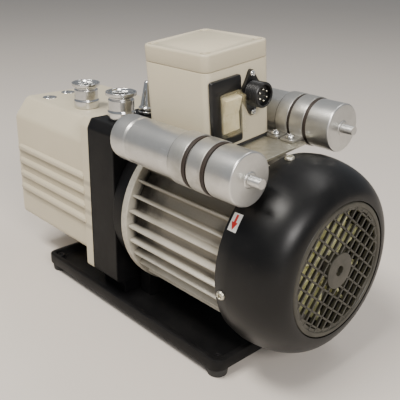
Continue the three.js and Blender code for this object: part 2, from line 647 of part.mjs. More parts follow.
/** Quarter of an ellipse from the cowl's widest ring to the rim of its opening. */
function cowlProfile(inset, steps) {
  const [reach, drop] = [COWL_END_X - COWL_WIDEST_X - inset, COWL_RADIUS - COWL_OPENING - inset];
  const dome = Array.from({ length: steps + 1 }, (_, i) => {
    const angle = (i / steps) * Math.PI / 2;
    return [COWL_WIDEST_X + reach * Math.sin(angle), COWL_OPENING + drop * Math.cos(angle)];
  });
  return [[COWL_FROM_X, COWL_MOUTH_RADIUS - inset], ...dome];
}

function fanCowl() {
  const outer = cowlProfile(0, COWL_STEPS.outer);
  const inner = cowlProfile(COWL_WALL, COWL_STEPS.inner).reverse();
  return drilledForCowlScrews(turnedX(closed([...outer, ...inner])));
}

function fanGrille() {
  const span = [COWL_END_X - GRILLE.depth, COWL_END_X];
  const outer = COWL_OPENING - GRILLE.seat;
  const bars = grown(span, -GRILLE.barInset);
  const disc = rodX(outer - PAST, bars, [0, 0], FINE);
  const reach = Math.floor(outer / GRILLE.pitch);
  let lattice = rodX(GRILLE.hub, bars, [0, 0], COARSE);
  for (let i = -reach; i <= reach; i++) {
    const y = i * GRILLE.pitch;
    const bar = block(bars, [y - GRILLE.bar / 2, y + GRILLE.bar / 2], [-outer, outer]).intersect(disc);
    lattice = lattice.add(bar.rotate([45, 0, 0])).add(bar.rotate([-45, 0, 0]));
  }
  return lattice
    .add(tubeX(outer - GRILLE.rim, outer, span, [0, 0]))
    .subtract(rodX(GRILLE.hole, grown(span, PAST), [0, 0], HOLE_SIDES));
}

function coolingFan() {
  const span = [FAN.backX, FAN.backX + FAN.depth];
  const bladeReach = [FAN.hub - 2 * PAST, FAN.radius - PAST];
  const blade = block([span[0] + PAST, span[1]], [-FAN.blade / 2, FAN.blade / 2], bladeReach);
  const disc = rodX(FAN.radius, [span[0], span[0] + FAN.disc], [0, 0], FINE);
  let fan = rodX(FAN.hub, span, [0, 0], COARSE).add(disc);
  for (let i = 0; i < FAN.blades; i++) {
    fan = fan.add(blade.rotate([i * 360 / FAN.blades, 0, 0]));
  }
  return fan
    .subtract(rodX(SHAFT_RADIUS + SEAT_GAP, grown(span, PAST), [0, 0], COARSE))
    .translate([0, 0, SHAFT_HEIGHT]);
}

function cowlScrew() {
  const profile = screwProfile(COWL_SCREW, rearRim - COWL_SCREW.depth, COWL_RADIUS + SEAT_GAP);
  return turnedZ(profile, SCREW_SIDES, [COWL_SCREW.x, 0]);
}

place(pump, "cooling_fan", coolingFan(), { color: 0xb9b878, roughness: 0.5, metalness: 0 });
place(motor, "fan_cowl", fanCowl(), BLACK_METAL);
place(motor, "fan_grille", fanGrille(), { color: 0x4a483c, roughness: 0.6, metalness: 0 });
cowlScrewTurns(cowlScrew()).forEach((screw, i) => place(motor, `cowl_screw_${i + 1}`, screw, ZINC));

// ---- capacitor bracket under the terminal box ---------------------------------------------------

const bracketUnder = PAD.top + SEAT_GAP;
const bracketTop = bracketUnder + BRACKET_THICKNESS;
const bandCentre = ([x0, x1]) => (x0 + x1) / 2;
const clampScrewPlaces = [
  ...FAR_BANDS.map((band) => [bandCentre(band), CLAMP_SCREW.y]),
  ...NEAR_BANDS.map((band) => [bandCentre(band), -CLAMP_SCREW.y]),
];

/** A flat sheet under the box, drilled for the clamp screws and the motor's leads. */
function capacitorBracket() {
  const through = [bracketUnder - PAST, bracketTop + PAST];
  let sheet = block([BRACKET.fromX, BRACKET.toX], [-BRACKET.half, BRACKET.half], [bracketUnder, bracketTop]);
  for (const at of clampScrewPlaces) {
    sheet = sheet.subtract(rodZ(CLAMP_SCREW.shank + HOLE_CLEARANCE, through, at, HOLE_SIDES));
  }
  return sheet.subtract(rodZ(CABLE_HOLE, through, boxCentre));
}

place(motor, "capacitor_bracket", capacitorBracket(), ZINC);

// ---- terminal box, gasket, lid, lid screws ------------------------------------------------------

const gasketUnder = bracketTop + SEAT_GAP;
const boxUnder = gasketUnder + BOX_GASKET + SEAT_GAP;
const boxOutline = roundedRectangle([BOX.fromX, BOX.toX], [-BOX.half, BOX.half], BOX.corner);
const cavityX = [BOX.fromX + BOX.wall, BOX.toX - BOX.wall];
const cavityY = [-BOX.half + BOX.wall, BOX.half - BOX.wall];
const boxCavity = roundedRectangle(cavityX, cavityY, BOX.corner - BOX.wall);
const lidUnder = BOX.seam + SEAT_GAP;
const lidScrewY = BOX.half - LID_SCREW.inset;
const lidScrewPlaces = [BOX.fromX + LID_SCREW.inset, BOX.toX - LID_SCREW.inset].flatMap(
  (x) => [[x, -lidScrewY], [x, lidScrewY]]);
const windowMiddle = (SWITCH.window.z[0] + SWITCH.window.z[1]) / 2;
const inletNeck = INLET.bore + PAST;
const inletScrewPlaces = [1, -1].map((side) => [INLET.y, INLET.z + side * INLET_SCREW.spacing / 2]);
const switchBody = {
  y: [SWITCH.y[0] + SWITCH.lip, SWITCH.y[1] - SWITCH.lip],
  z: [SWITCH.z[0] + SWITCH.lip, SWITCH.z[1] - SWITCH.lip],
};

function boxGasket() {
  return prismZ(boxOutline, [gasketUnder, gasketUnder + BOX_GASKET])
    .subtract(rodZ(CABLE_HOLE, [gasketUnder - PAST, boxUnder + PAST], boxCentre));
}

function terminalBox() {
  const bossSpan = [BOX.seam - BOX_BOSS.depth, BOX.seam];
  const bossLimit = prismZ(boxOutline, bossSpan);
  const throughWall = [BOX.toX - BOX.wall - PAST, BOX.toX + PAST];
  let box = prismZ(boxOutline, [boxUnder, BOX.seam])
    .subtract(prismZ(boxCavity, [boxUnder + BOX.wall, BOX.seam + PAST]));
  for (const at of lidScrewPlaces) {
    box = box
      .add(rodZ(BOX_BOSS.radius, bossSpan, at).intersect(bossLimit))
      .subtract(rodZ(LID_SCREW.shank + HOLE_CLEARANCE, grown(bossSpan, PAST), at, HOLE_SIDES));
  }
  for (const screw of inletScrewPlaces) {
    box = box.subtract(rodX(INLET_SCREW.shank + HOLE_CLEARANCE, throughWall, screw, HOLE_SIDES));
  }
  return box
    .subtract(block(throughWall, grown(switchBody.y, HOLE_CLEARANCE), grown(switchBody.z, HOLE_CLEARANCE)))
    .subtract(rodX(inletNeck + HOLE_CLEARANCE, throughWall, [INLET.y, INLET.z], COARSE))
    .subtract(rodZ(CABLE_HOLE, [boxUnder - PAST, boxUnder + BOX.wall + PAST], boxCentre));
}

const wellFloor = BOX.top - LID_WELL.depth;

function boxLid() {
  const lidLimit = prismZ(boxOutline, [lidUnder, BOX.top]);
  let lid = lidLimit.subtract(prismZ(boxCavity, [lidUnder - PAST, BOX.top - BOX.wall]));
  for (const at of lidScrewPlaces) {
    lid = lid
      .add(rodZ(LID_WELL.boss, [lidUnder, BOX.top], at, COARSE).intersect(lidLimit))
      .subtract(rodZ(LID_SCREW.shank + HOLE_CLEARANCE, [lidUnder - PAST, BOX.top], at, HOLE_SIDES))
      .subtract(rodZ(LID_WELL.bore, [wellFloor, BOX.top + PAST], at));
  }
  return lid;
}

function lidScrew(at) {
  return turnedZ(screwProfile(LID_SCREW, BOX.seam - LID_SCREW.depth, wellFloor + SEAT_GAP), SCREW_SIDES, at);
}

place(motor, "terminal_box_gasket", boxGasket(), RUBBER);
place(motor, "terminal_box", terminalBox(), PAINT);
place(motor, "terminal_box_lid", boxLid(), PAINT);
lidScrewPlaces.forEach((at, i) => place(motor, `lid_screw_${i + 1}`, lidScrew(at), ZINC));

// ---- switch: frame, rocker, clear boot ----------------------------------------------------------

const wallFace = BOX.toX + SEAT_GAP;
const frameFace = wallFace + SWITCH.plate;
const rockerPivot = [BOX.toX - ROCKER.setBack, windowMiddle];

function switchFrame() {
  const pocket = [BOX.toX - SWITCH.depth + SWITCH.floor, frameFace + PAST];
  return block([wallFace, frameFace], SWITCH.y, SWITCH.z)
    .add(block([BOX.toX - SWITCH.depth, wallFace + PAST], switchBody.y, switchBody.z))
    .subtract(block(pocket, SWITCH.window.y, SWITCH.window.z));
}

/** A rocker with a shallow V front, at rest with its lower end pressed in. */
function switchRocker() {
  const [px, pz] = rockerPivot;
  const { half, valley, crest, back, backHalf, tipWidth } = ROCKER;
  const outline = [
    [valley, 0], [crest, half - tipWidth], [0, half], [-back, backHalf],
    [-back, -backHalf], [0, -half], [crest, tipWidth - half],
  ];
  const turned = outline.map(([x, z]) => [
    px + x * Math.cos(ROCKER.tilt) + z * Math.sin(ROCKER.tilt),
    pz - x * Math.sin(ROCKER.tilt) + z * Math.cos(ROCKER.tilt),
  ]);
  return prismY(turned, grown(SWITCH.window.y, -ROCKER.side));
}

function switchBoot() {
  const back = frameFace + SEAT_GAP;
  const hollow = [back - PAST, back + BOOT.depth - BOOT.wall];
  const y = grown(SWITCH.window.y, BOOT.margin);
  const z = grown(SWITCH.window.z, BOOT.margin);
  return block([back, back + BOOT.depth], y, z)
    .subtract(block(hollow, grown(y, -BOOT.wall), grown(z, -BOOT.wall)));
}

place(motor, "switch_frame", switchFrame(), BLACK_PLASTIC);
place(motor, "switch_rocker", switchRocker(), { color: 0xe3d9a8, roughness: 0.4, metalness: 0 });
place(motor, "switch_boot", switchBoot(), { color: 0xd9c889, roughness: 0.25, metalness: 0, opacity: 0.5 });

// ---- round supply inlet with its flange screws --------------------------------------------------

function inletShell() {
  const centre = [INLET.y, INLET.z];
  const plateSpan = [wallFace, wallFace + INLET.plate];
  const face = plateSpan[1] + INLET.length;
  const lugY = grown([INLET.y, INLET.y], INLET.lugHalf);
  const lugZ = grown([INLET.z, INLET.z], INLET.lug);
  let shell = rodX(INLET.flange, plateSpan, centre, COARSE)
    .add(block(plateSpan, lugY, lugZ))
    .add(rodX(INLET.barrel, [plateSpan[0], face], centre, COARSE))
    .add(rodX(inletNeck, [BOX.toX - 2 * BOX.wall, wallFace + PAST], centre, COARSE))
    .subtract(rodX(INLET.bore, [face - INLET.recess, face + PAST], centre, COARSE));
  for (let i = 0; i < PIN.count; i++) {
    const angle = (i + 0.5) * 2 * Math.PI / PIN.count;
    const at = [INLET.y + PIN.circle * Math.cos(angle), INLET.z + PIN.circle * Math.sin(angle)];
    shell = shell.add(rodX(PIN.radius, [face - INLET.recess - PAST, face - PIN.below], at, HOLE_SIDES));
  }
  for (const screw of inletScrewPlaces) {
    const hole = rodX(INLET_SCREW.shank + HOLE_CLEARANCE, grown(plateSpan, PAST), screw, HOLE_SIDES);
    shell = shell.subtract(hole);
  }
  return shell;
}

function inletScrew(at) {
  const seat = wallFace + INLET.plate + SEAT_GAP;
  return turnedX(screwProfile(INLET_SCREW, BOX.toX - INLET_SCREW.depth, seat), SCREW_SIDES, at);
}

place(motor, "supply_inlet", inletShell(), BLACK_PLASTIC);
inletScrewPlaces.forEach((at, i) => place(motor, `inlet_screw_${i + 1}`, inletScrew(at), BRIGHT_STEEL));

// ---- capacitors, clamp bands, clamp screws ------------------------------------------------------

function capacitor(fromX, side) {
  const capX = fromX + CAN.length - CAN.cap;
  const endX = fromX + CAN.length;
  return turnedX([
    [fromX, 0], ...CAN.dome.map(([along, inset]) => [fromX + along, CAN.radius - inset]),
    [capX, CAN.radius], [capX + CAN.edge, CAN.capRadius],
    [endX - CAN.edge, CAN.capRadius], [endX, CAN.capRadius - CAN.edge],
    [endX, CAN.stud], [endX + CAN.studLength, CAN.stud], [endX + CAN.studLength, 0],
  ], FINE, [side * CAN.y, CAN.z]);
}

/** A band round the can with a tab that lies on the bracket, beside the terminal box. */
function clampBand(span, side) {
  const inner = CAN.radius + SEAT_GAP;
  const centre = [side * CAN.y, CAN.z];
  const tabSpan = [bracketTop + SEAT_GAP, bracketTop + SEAT_GAP + BAND.tab];
  const tabEnds = [CLAMP_SCREW.y - CLAMP_SCREW.edge, CAN.y - CAN.radius / 2].map((y) => side * y);
  const screw = [bandCentre(span), side * CLAMP_SCREW.y];
  return rodX(inner + BAND.wall, span, centre, FINE)
    .add(block(span, tabEnds.sort((a, b) => a - b), tabSpan))
    .subtract(rodX(inner, grown(span, PAST), centre, FINE))
    .subtract(rodZ(CLAMP_SCREW.shank + HOLE_CLEARANCE, grown(tabSpan, PAST), screw, HOLE_SIDES));
}

function clampScrew(at) {
  const seat = bracketTop + 2 * SEAT_GAP + BAND.tab;
  return turnedZ(screwProfile(CLAMP_SCREW, bracketUnder - CLAMP_SCREW.depth, seat), SCREW_SIDES, at);
}

place(motor, "near_capacitor", capacitor(NEAR_CAN_X, -1), SPUN_ALUMINIUM);
place(motor, "far_capacitor", capacitor(FAR_CAN_X, 1), SPUN_ALUMINIUM);
place(motor, "near_clamp_1", clampBand(NEAR_BANDS[0], -1), ZINC);
place(motor, "near_clamp_2", clampBand(NEAR_BANDS[1], -1), ZINC);
place(motor, "far_clamp_1", clampBand(FAR_BANDS[0], 1), ZINC);
place(motor, "far_clamp_2", clampBand(FAR_BANDS[1], 1), ZINC);
clampScrewPlaces.forEach((at, i) => place(motor, `clamp_screw_${i + 1}`, clampScrew(at), BRIGHT_STEEL));

// ---- origin: centre of the footprint box, on the table ------------------------------------------

pump.updateMatrixWorld(true);
const middle = new THREE.Box3().setFromObject(pump, true).getCenter(new THREE.Vector3());
pump.position.set(-middle.x, -middle.y, 0);

export default pump;
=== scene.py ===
import math

import bmesh
import bpy
import numpy as np
from mathutils import Matrix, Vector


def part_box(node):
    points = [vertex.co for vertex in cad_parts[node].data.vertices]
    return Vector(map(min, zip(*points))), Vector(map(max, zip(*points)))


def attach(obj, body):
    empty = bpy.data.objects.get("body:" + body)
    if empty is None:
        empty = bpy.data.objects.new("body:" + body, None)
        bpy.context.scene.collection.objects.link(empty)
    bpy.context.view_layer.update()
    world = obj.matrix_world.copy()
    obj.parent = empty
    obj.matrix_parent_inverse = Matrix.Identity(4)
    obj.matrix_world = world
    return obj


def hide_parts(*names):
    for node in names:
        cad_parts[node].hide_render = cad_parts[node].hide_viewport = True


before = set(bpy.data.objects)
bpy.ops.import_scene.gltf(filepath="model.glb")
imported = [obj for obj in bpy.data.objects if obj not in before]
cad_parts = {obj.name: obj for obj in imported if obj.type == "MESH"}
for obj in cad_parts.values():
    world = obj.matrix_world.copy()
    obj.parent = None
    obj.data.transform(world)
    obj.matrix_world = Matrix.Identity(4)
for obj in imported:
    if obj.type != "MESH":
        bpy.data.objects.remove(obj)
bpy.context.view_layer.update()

# ---- Base tray ----
# A shallow black tray of pressed steel that catches drips and carries the whole pump.
# Its rim is turned up all round, and it is sprayed with semi-gloss black paint.
PLATE_FACE_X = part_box("pump_plate")[0].x
SHAFT = (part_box("drive_end_shield")[0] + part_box("drive_end_shield")[1]) / 2
SHAFT_HEIGHT = 107
TRAY = {"x": (-86, 194), "half": 78, "under": 8, "floor": 13, "rim": 20, "corner": 10}


def on_table(points):
    """Places in mm from the pump plate's back face, the shaft's plane and the table, as metres."""
    return np.asarray(points, float) / 1000 + np.array([PLATE_FACE_X, SHAFT.y, 0])


def eased(corners, reach, closed=True, steps=6):
    """A line through corners, each eased off: A and B lie reach from corner C along its two sides, or
    just short of their middles, and the line follows (1 - s)^2 A + 2 s (1 - s) C + s^2 B. An open line
    keeps its two end points."""
    corners = np.asarray(corners, float)
    sides = [np.roll(corners, shift, 0) - corners for shift in (1, -1)]
    lengths = [np.maximum(np.linalg.norm(side, axis=1, keepdims=True), 1e-9) for side in sides]
    a, b = (corners + side / length * np.minimum(reach, 0.48 * length)
            for side, length in zip(sides, lengths))
    s = np.linspace(0, 1, steps)[None, :, None]
    line = (1 - s) ** 2 * a[:, None] + 2 * s * (1 - s) * corners[:, None] + s ** 2 * b[:, None]
    if not closed:
        line[[0, -1]] = corners[[0, -1], None]
    return line.reshape(-1, 2)


def rectangle(x, y, corner, steps=8):
    """A rectangle over the spans x and y with eased corners."""
    return eased([(x[1], y[1]), (x[0], y[1]), (x[0], y[0]), (x[1], y[0])], corner, steps=steps)


AXES = {"x": (2, 0, 1), "y": (0, 2, 1), "z": (0, 1, 2)}


def along(axis, u, v, a):
    """Rings of points: (u, v) across the axis and a along it."""
    parts = np.broadcast_arrays(u, v, a)
    return np.stack([parts[i] for i in AXES[axis]], -1)


def drawn(outline, span, axis="x"):
    """An outline of (u, v) points repeated at each place of span along the axis."""
    u, v = np.asarray(outline, float).T
    return along(axis, u, v, np.asarray(span, float)[:, None])


def pressed(x, y, corner, profile, axis="z"):
    """A stack of eased rectangles: for each (inset, height) of the profile, the rectangle drawn in by
    inset."""
    rings = []
    for d, h in profile:
        around = rectangle((x[0] + d, x[1] - d), (y[0] + d, y[1] - d), max(corner - d, 0.4))
        rings.append(drawn(around, [h], axis))
    return np.concatenate(rings)


def turned(profile, centre=(0, 0), axis="x", sides=96):
    """A turned shape: each (a, r) of the profile is the circle r (cos t, sin t) round the centre,
    at a along the axis."""
    a, r = np.asarray(profile, float).T[..., None]
    t = np.linspace(0, 2 * math.pi, sides, endpoint=False)
    return along(axis, centre[0] + r * np.cos(t), centre[1] + r * np.sin(t), a)


def hoop(x, inner, outer, ease, centre=(0, 0), sides=128):
    """A turned ring over the span x between two radii, with its four edges eased."""
    section = eased([(x[0], inner), (x[0], outer), (x[1], outer), (x[1], inner)], ease)
    return turned(section, centre, sides=sides)


def near_corners(x, y, inset):
    """Four places at one inset from the corners of a rectangle."""
    return [(a, b) for a in (x[0] + inset, x[1] - inset) for b in (y[0] + inset, y[1] - inset)]


def placed(name, data):
    """A new object in the scene, holding a mesh, a light or a camera."""
    item = bpy.data.objects.new(name, data)
    bpy.context.scene.collection.objects.link(item)
    return item


def skin(name, stacks, place=on_table, bevel=0.0, edge=35, looped=(), opened=()):
    """Skins stacks of rings: point j of ring i joins point j of ring i + 1, and the end rings get a face.
    A looped stack joins its last ring to its first. An opened stack's last ring stays open, and all the
    open rims, which lie in one plane, are filled together, so that a hole's rim pierces the face round it."""
    points, faces, start = [], [], 0
    for k, rings in enumerate(stacks):
        count, across = rings.shape[:2]
        grid = start + np.arange(count * across).reshape(count, across)
        here, there = (grid, np.roll(grid, -1, 0)) if k in looped else (grid[:-1], grid[1:])
        quads = np.stack([here, np.roll(here, -1, 1), np.roll(there, -1, 1), there], -1)
        faces += quads.reshape(-1, 4).tolist()
        if k not in looped:
            faces.append(grid[0, ::-1].tolist())
            if k not in opened:
                faces.append(grid[-1].tolist())
        points.append(place(rings).reshape(-1, 3))
        start += count * across
    mesh = bpy.data.meshes.new(name)
    mesh.from_pydata(np.concatenate(points), [], faces)
    shell = bmesh.new()
    shell.from_mesh(mesh)
    bmesh.ops.remove_doubles(shell, verts=shell.verts, dist=2e-6)
    if opened:
        bmesh.ops.triangle_fill(shell, edges=[e for e in shell.edges if e.is_boundary], use_beauty=True)
    bmesh.ops.recalc_face_normals(shell, faces=shell.faces)
    shell.to_mesh(mesh)
    shell.free()
    mesh.polygons.foreach_set("use_smooth", np.ones(len(mesh.polygons), bool))
    piece = placed(name, mesh)
    if bevel:
        rounding = piece.modifiers.new("rounding", "BEVEL")
        rounding.width = bevel / 1000
        rounding.segments = 3
        rounding.limit_method = "ANGLE"
        rounding.angle_limit = math.radians(edge)
        rounding.harden_normals = True
    else:
        mesh.set_sharp_from_angle(angle=math.radians(edge))
    return piece


def fit(piece, finish, slot, *nodes, body="pump_frame"):
    """Gives a piece its finish and its body, and stands it for the named nodes."""
    piece.data.materials.append(finish)
    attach(piece, body)
    if nodes:
        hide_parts(*nodes)


class Amount:
    """A number that varies over a surface; sums and products with it add Math nodes."""

    def __init__(self, finish, socket):
        self.finish = finish
        self.socket = socket

    def _with(self, operation, *terms):
        return self.finish.node("Math", {"operation": operation}, dict(enumerate(terms)))

    def __add__(self, other):
        return self._with("ADD", self, other)

    def __sub__(self, other):
        return self._with("SUBTRACT", self, other)

    def __rsub__(self, other):
        return self._with("SUBTRACT", other, self)

    def __mul__(self, other):
        return self._with("MULTIPLY", self, other)

    __radd__ = __add__
    __rmul__ = __mul__


class Finish:
    """A surface finish under construction: nodes are added by type, and coat() ends it with one shader."""

    def __init__(self, name):
        self.material = bpy.data.materials.new(name)
        self.material.use_nodes = True
        self.tree = self.material.node_tree
        self.tree.nodes.clear()
        self.place = self.node("TexCoord", output="Object")

    def node(self, kind, settings=None, inputs=None, output=0):
        """Adds a node of a type, with its settings first and then its inputs, and returns one output."""
        node = self.tree.nodes.new("ShaderNode" + kind)
        for key, value in (settings or {}).items():
            setattr(node, key, value)
        for key, value in (inputs or {}).items():
            if isinstance(value, Amount):
                self.tree.links.new(value.socket, node.inputs[key])
            else:
                node.inputs[key].default_value = value
        return Amount(self, node.outputs[output]) if node.outputs else None

    def stretched(self, scale, centre=(0, 0, 0)):
        """Object places in metres from a centre, each axis multiplied by its scale."""
        moved = self.node("VectorMath", {"operation": "SUBTRACT"}, {0: self.place, 1: tuple(centre)})
        return self.node("VectorMath", {"operation": "MULTIPLY"}, {0: moved, 1: tuple(scale)})

    def grain(self, scale, detail=3.0, rough=0.55, place=None):
        """Cloudy noise from 0 to 1, scale cells to the metre."""
        return self.node("TexNoise", None, {"Vector": place or self.place, "Scale": scale,
                                            "Detail": detail, "Roughness": rough})

    def cells(self, scale, place=None, output="Distance"):
        """Voronoi cells, scale to the metre."""
        return self.node("TexVoronoi", None, {"Vector": place or self.place, "Scale": scale}, output)

    def span(self, amount, low, high, start=0.0, end=1.0):
        """Carries low..high to start..end, held at both ends."""
        return self.node("MapRange", {"clamp": True}, {
            "Value": amount, "From Min": low, "From Max": high, "To Min": start, "To Max": end})

    def mix(self, share, first, second):
        """The first colour where share is 0 and the second where it is 1."""
        return self.node("Mix", {"data_type": "RGBA"}, {0: share, 6: first, 7: second}, output=2)

    def coat(self, colour, roughness, height=None, depth=0.0, **constants):
        """The shader: colour, roughness, a bump of so many mm from height, and constants by socket name."""
        inputs = {"Base Color": colour, "Roughness": roughness}
        if height is not None:
            inputs["Normal"] = self.node("Bump", None, {
                "Strength": 1.0, "Distance": depth / 1000, "Height": height})
        inputs.update({key.replace("_", " ").title().replace("Ior", "IOR"): value
                       for key, value in constants.items()})
        shader = self.node("BsdfPrincipled", None, inputs)
        self.node("OutputMaterial", None, {"Surface": shader})
        return self.material


def black_paint(name, grime=0.35):
    """Semi-gloss black spray paint: slight orange peel, and a thin uneven film of dust and fingering."""
    f = Finish(name)
    haze = f.span(f.grain(18, 5, 0.65), 0.42, 0.72)
    peel = f.grain(520, 2) * 0.6 + f.grain(120, 2)
    colour = f.mix(haze * grime, (0.004, 0.004, 0.0045, 1), (0.02, 0.019, 0.018, 1))
    roughness = f.span(f.grain(45, 4), 0.3, 0.7, 0.38, 0.48) + haze * 0.12
    return f.coat(colour, roughness, peel, 0.06, specular_ior_level=0.16)


BLACK_PAINT = black_paint("black_spray_paint")
tray = skin("base_tray", [pressed(TRAY["x"], (-TRAY["half"], TRAY["half"]), TRAY["corner"], [
    (1.5, TRAY["under"]), (0.3, TRAY["under"] + 0.8), (0, TRAY["under"] + 2), (0, TRAY["rim"] - 1.4),
    (0.4, TRAY["rim"] - 0.4), (1.4, TRAY["rim"]), (4.6, TRAY["rim"]), (5.6, TRAY["rim"] - 0.4),
    (6, TRAY["rim"] - 1.4), (6.6, TRAY["floor"] + 1.4), (7.2, TRAY["floor"] + 0.4), (8.4, TRAY["floor"])])])
fit(tray, BLACK_PAINT, "black_paint", "base_plate")

# ---- Rubber feet and their bolts ----
# Four feet moulded in black rubber, each with a spigot in a hole near a corner of the tray.
# A black bolt above each shows its washer and its round socket head in the tray.
FOOT = {"radius": 10, "inset": 11, "spigot": 4}
BOLT = {"washer": 6.5, "washer_top": 1.2, "head": 4.6, "head_top": 4.6, "socket": 2.2, "socket_floor": 3.2}


def rubber(name):
    """Moulded black rubber: matt, with a fine grain and a little bloom."""
    f = Finish(name)
    bloom = f.span(f.grain(60, 5), 0.4, 0.75)
    colour = f.mix(bloom, (0.012, 0.012, 0.012, 1), (0.03, 0.029, 0.028, 1))
    return f.coat(colour, f.span(f.grain(90), 0.3, 0.7, 0.62, 0.82), f.grain(1400, 2), 0.05)


RUBBER = rubber("moulded_rubber")
for i, at in enumerate(near_corners(TRAY["x"], (-TRAY["half"], TRAY["half"]), FOOT["inset"])):
    top, spigot_end = TRAY["under"] - 0.3, TRAY["floor"] - 1
    profile = eased([(0, 0), (0, FOOT["radius"] - 1), (top, FOOT["radius"] - 0.2), (top, FOOT["spigot"]),
                     (spigot_end, FOOT["spigot"]), (spigot_end, 0)], 1.2, closed=False)
    foot = skin(f"rubber_foot_{i + 1}_moulded", [turned(profile, at, "z", 48)])
    fit(foot, RUBBER, "rubber", f"rubber_foot_{i + 1}")
    seat, washer_top = TRAY["floor"], TRAY["floor"] + BOLT["washer_top"]
    head_top, socket_floor = TRAY["floor"] + BOLT["head_top"], TRAY["floor"] + BOLT["socket_floor"]
    head = eased([(seat, 0), (seat, BOLT["washer"]), (washer_top, BOLT["washer"]),
                  (washer_top, BOLT["head"]), (head_top, BOLT["head"] - 0.2), (head_top, BOLT["socket"]),
                  (socket_floor, BOLT["socket"]), (socket_floor, 0)], 0.5, closed=False)
    fit(skin(f"foot_bolt_{i + 1}", [turned(head, at, "z", 36)]), BLACK_PAINT, "black_paint")

# ---- Pump plate ----
# The thick black plate between the oil case and the motor side. It is a machined casting,
# painted black, and stands in the tray on two feet.
PLATE = {"thick": 40, "half": 71, "bottom": 28, "top": 194, "corner": (5, 9)}
PLATE_LEG = {"x": (2, PLATE["thick"] - 2), "y": 46, "half": 14, "top": PLATE["bottom"] + 2}
LOWER_CORNER = 4


def body_outline(half, bottom, top, corner, ease):
    """A housing seen from its end: shoulders cut by (width, drop), lower corners cut equally, all eased."""
    width, drop = corner
    right = [(half - LOWER_CORNER, bottom), (half, bottom + LOWER_CORNER),
             (half, top - drop), (half - width, top)]
    return eased(right + [(-y, z) for y, z in reversed(right)], ease)


def bar(x, y, z):
    """A rectangular bar over three spans, as two rings along x."""
    return drawn([(y[0], z[0]), (y[1], z[0]), (y[1], z[1]), (y[0], z[1])], x)


def legs(x, y, half, top):
    """A pair of legs up from the tray's floor to a height, at y to both sides of the middle."""
    return [bar(x, (side * y - half, side * y + half), (TRAY["floor"] + 0.3, top)) for side in (-1, 1)]


plate_outline = body_outline(PLATE["half"], PLATE["bottom"], PLATE["top"], PLATE["corner"], 1.6)
slab = drawn(plate_outline, (0, PLATE["thick"]))
plate = skin("pump_plate_casting", [slab, *legs(**PLATE_LEG)], bevel=0.9)
fit(plate, BLACK_PAINT, "black_paint", "pump_plate")

# ---- Oil case ----
# A cast aluminium case that holds the oil round the pump module, bolted to the plate by its rim.
# Four stiffening ribs run along each side, and it is sprayed cream.
CASE = {"end": -153, "half": 68, "bottom": 45, "top": 186, "shoulder": (16, 20), "rim": (-13.6, -1.6),
        "gasket": (-1.3, -0.3)}
RIB = {"heights": (130, 114, 98, 82), "out": 4, "root": 9, "tip": 4, "run_out": (2, 4, 7), "sunk": 1.5}


def cream_paint(name, shaded_creases=()):
    """Cream stoving paint: orange peel, small pits of the casting, and faint grey dust in soft patches.
    Painted shade darkens the side walls along creases, each one a height in mm."""
    f = Finish(name)
    dust = f.span(f.grain(9, 6, 0.6), 0.45, 0.8)
    specks = f.span(f.cells(170), 0.0, 0.07, 1.0, 0.0)
    colour = f.mix(dust * 0.5, (0.59, 0.525, 0.385, 1), (0.50, 0.44, 0.32, 1))
    colour = f.mix(specks * 0.35, colour, (0.30, 0.26, 0.20, 1))
    if shaded_creases:
        at = f.stretched((1000, 1000, 1000), on_table((0, 0, 0)))
        y, z = (f.node("SeparateXYZ", None, {0: at}, output=k) for k in "YZ")
        on_wall = f.span(y * y, (CASE["half"] - 1.5) ** 2, (CASE["half"] + 0.5) ** 2)
    # Painted shade: each crease is darkened on the side walls, standing in for the shadow under a rib.
    for height in shaded_creases:
        from_crease = z - height
        line = f.span(from_crease * from_crease, 0.5, 12, 0.6, 0.0)
        colour = f.mix(line * on_wall, colour, (0.27, 0.24, 0.18, 1))
    peel = f.grain(420, 3) + f.grain(90, 2) * 0.5 - specks * 0.35
    return f.coat(colour, f.span(f.grain(60, 4), 0.3, 0.7, 0.36, 0.5), peel, 0.12)


CREAM = cream_paint("cream_paint")


def rib(side, height):
    """One rib: a low trapezoid rooted in the wall, whose crest rises out of it near the case's end and
    runs on into the rim."""
    x = [CASE["end"] + past for past in RIB["run_out"]] + [CASE["rim"][0] + 1]
    stands_out = [-0.6, 2.4, RIB["out"], RIB["out"]]
    root, tip = RIB["root"] / 2, RIB["tip"] / 2
    inside = side * (CASE["half"] - RIB["sunk"])
    rings = []
    for place, out in zip(x, stands_out):
        crest = side * (CASE["half"] + out)
        section = eased([(inside, height - root), (crest, height - tip),
                         (crest, height + tip), (inside, height + root)], 1.1)
        rings.append(drawn(section, [place]))
    return np.concatenate(rings)


case_outline = body_outline(CASE["half"], CASE["bottom"], CASE["top"], CASE["shoulder"], 4)
ribs = [rib(side, height) for side in (-1, 1) for height in RIB["heights"]]
case_body = drawn(case_outline, (CASE["end"], CASE["rim"][0] + 1))
rim = drawn(plate_outline, CASE["rim"])
# Heights of the painted shade under the ribs, at the lower edge of each rib's root.
rib_shade_heights = [height - RIB["root"] / 2 for height in RIB["heights"]]
case = skin("oil_case_casting", [case_body, rim, *ribs], bevel=1.6, edge=40)
# The case paint carries painted shade along the foot of each rib.
fit(case, cream_paint("case_paint_with_painted_rib_shade", rib_shade_heights), "cream_paint", "oil_case")
gasket = skin("oil_case_joint", [drawn(plate_outline, CASE["gasket"])])
fit(gasket, RUBBER, "rubber", "oil_case_gasket")

# ---- Oil glass and plugs ----
# A round glass in a bright bezel shows the oil level on the case's end, above a hexagonal drain plug.
# Two slotted plugs close the filling and vent holes, nearly flush with the case's top.
GLASS = {"z": 100, "radius": 14, "blur": 0.5}
DRAIN = {"y": -32, "z": 62, "across": 17, "washer": 10.6, "bore": 5, "head": 6}
TOP_PLUGS = {"oil_fill_plug": (-130, -36), "oil_vent_plug": (-140, -6)}
TOP_PLUG = {"radius": 8, "crown": 0.8, "deep": 5, "slot": 1.0}


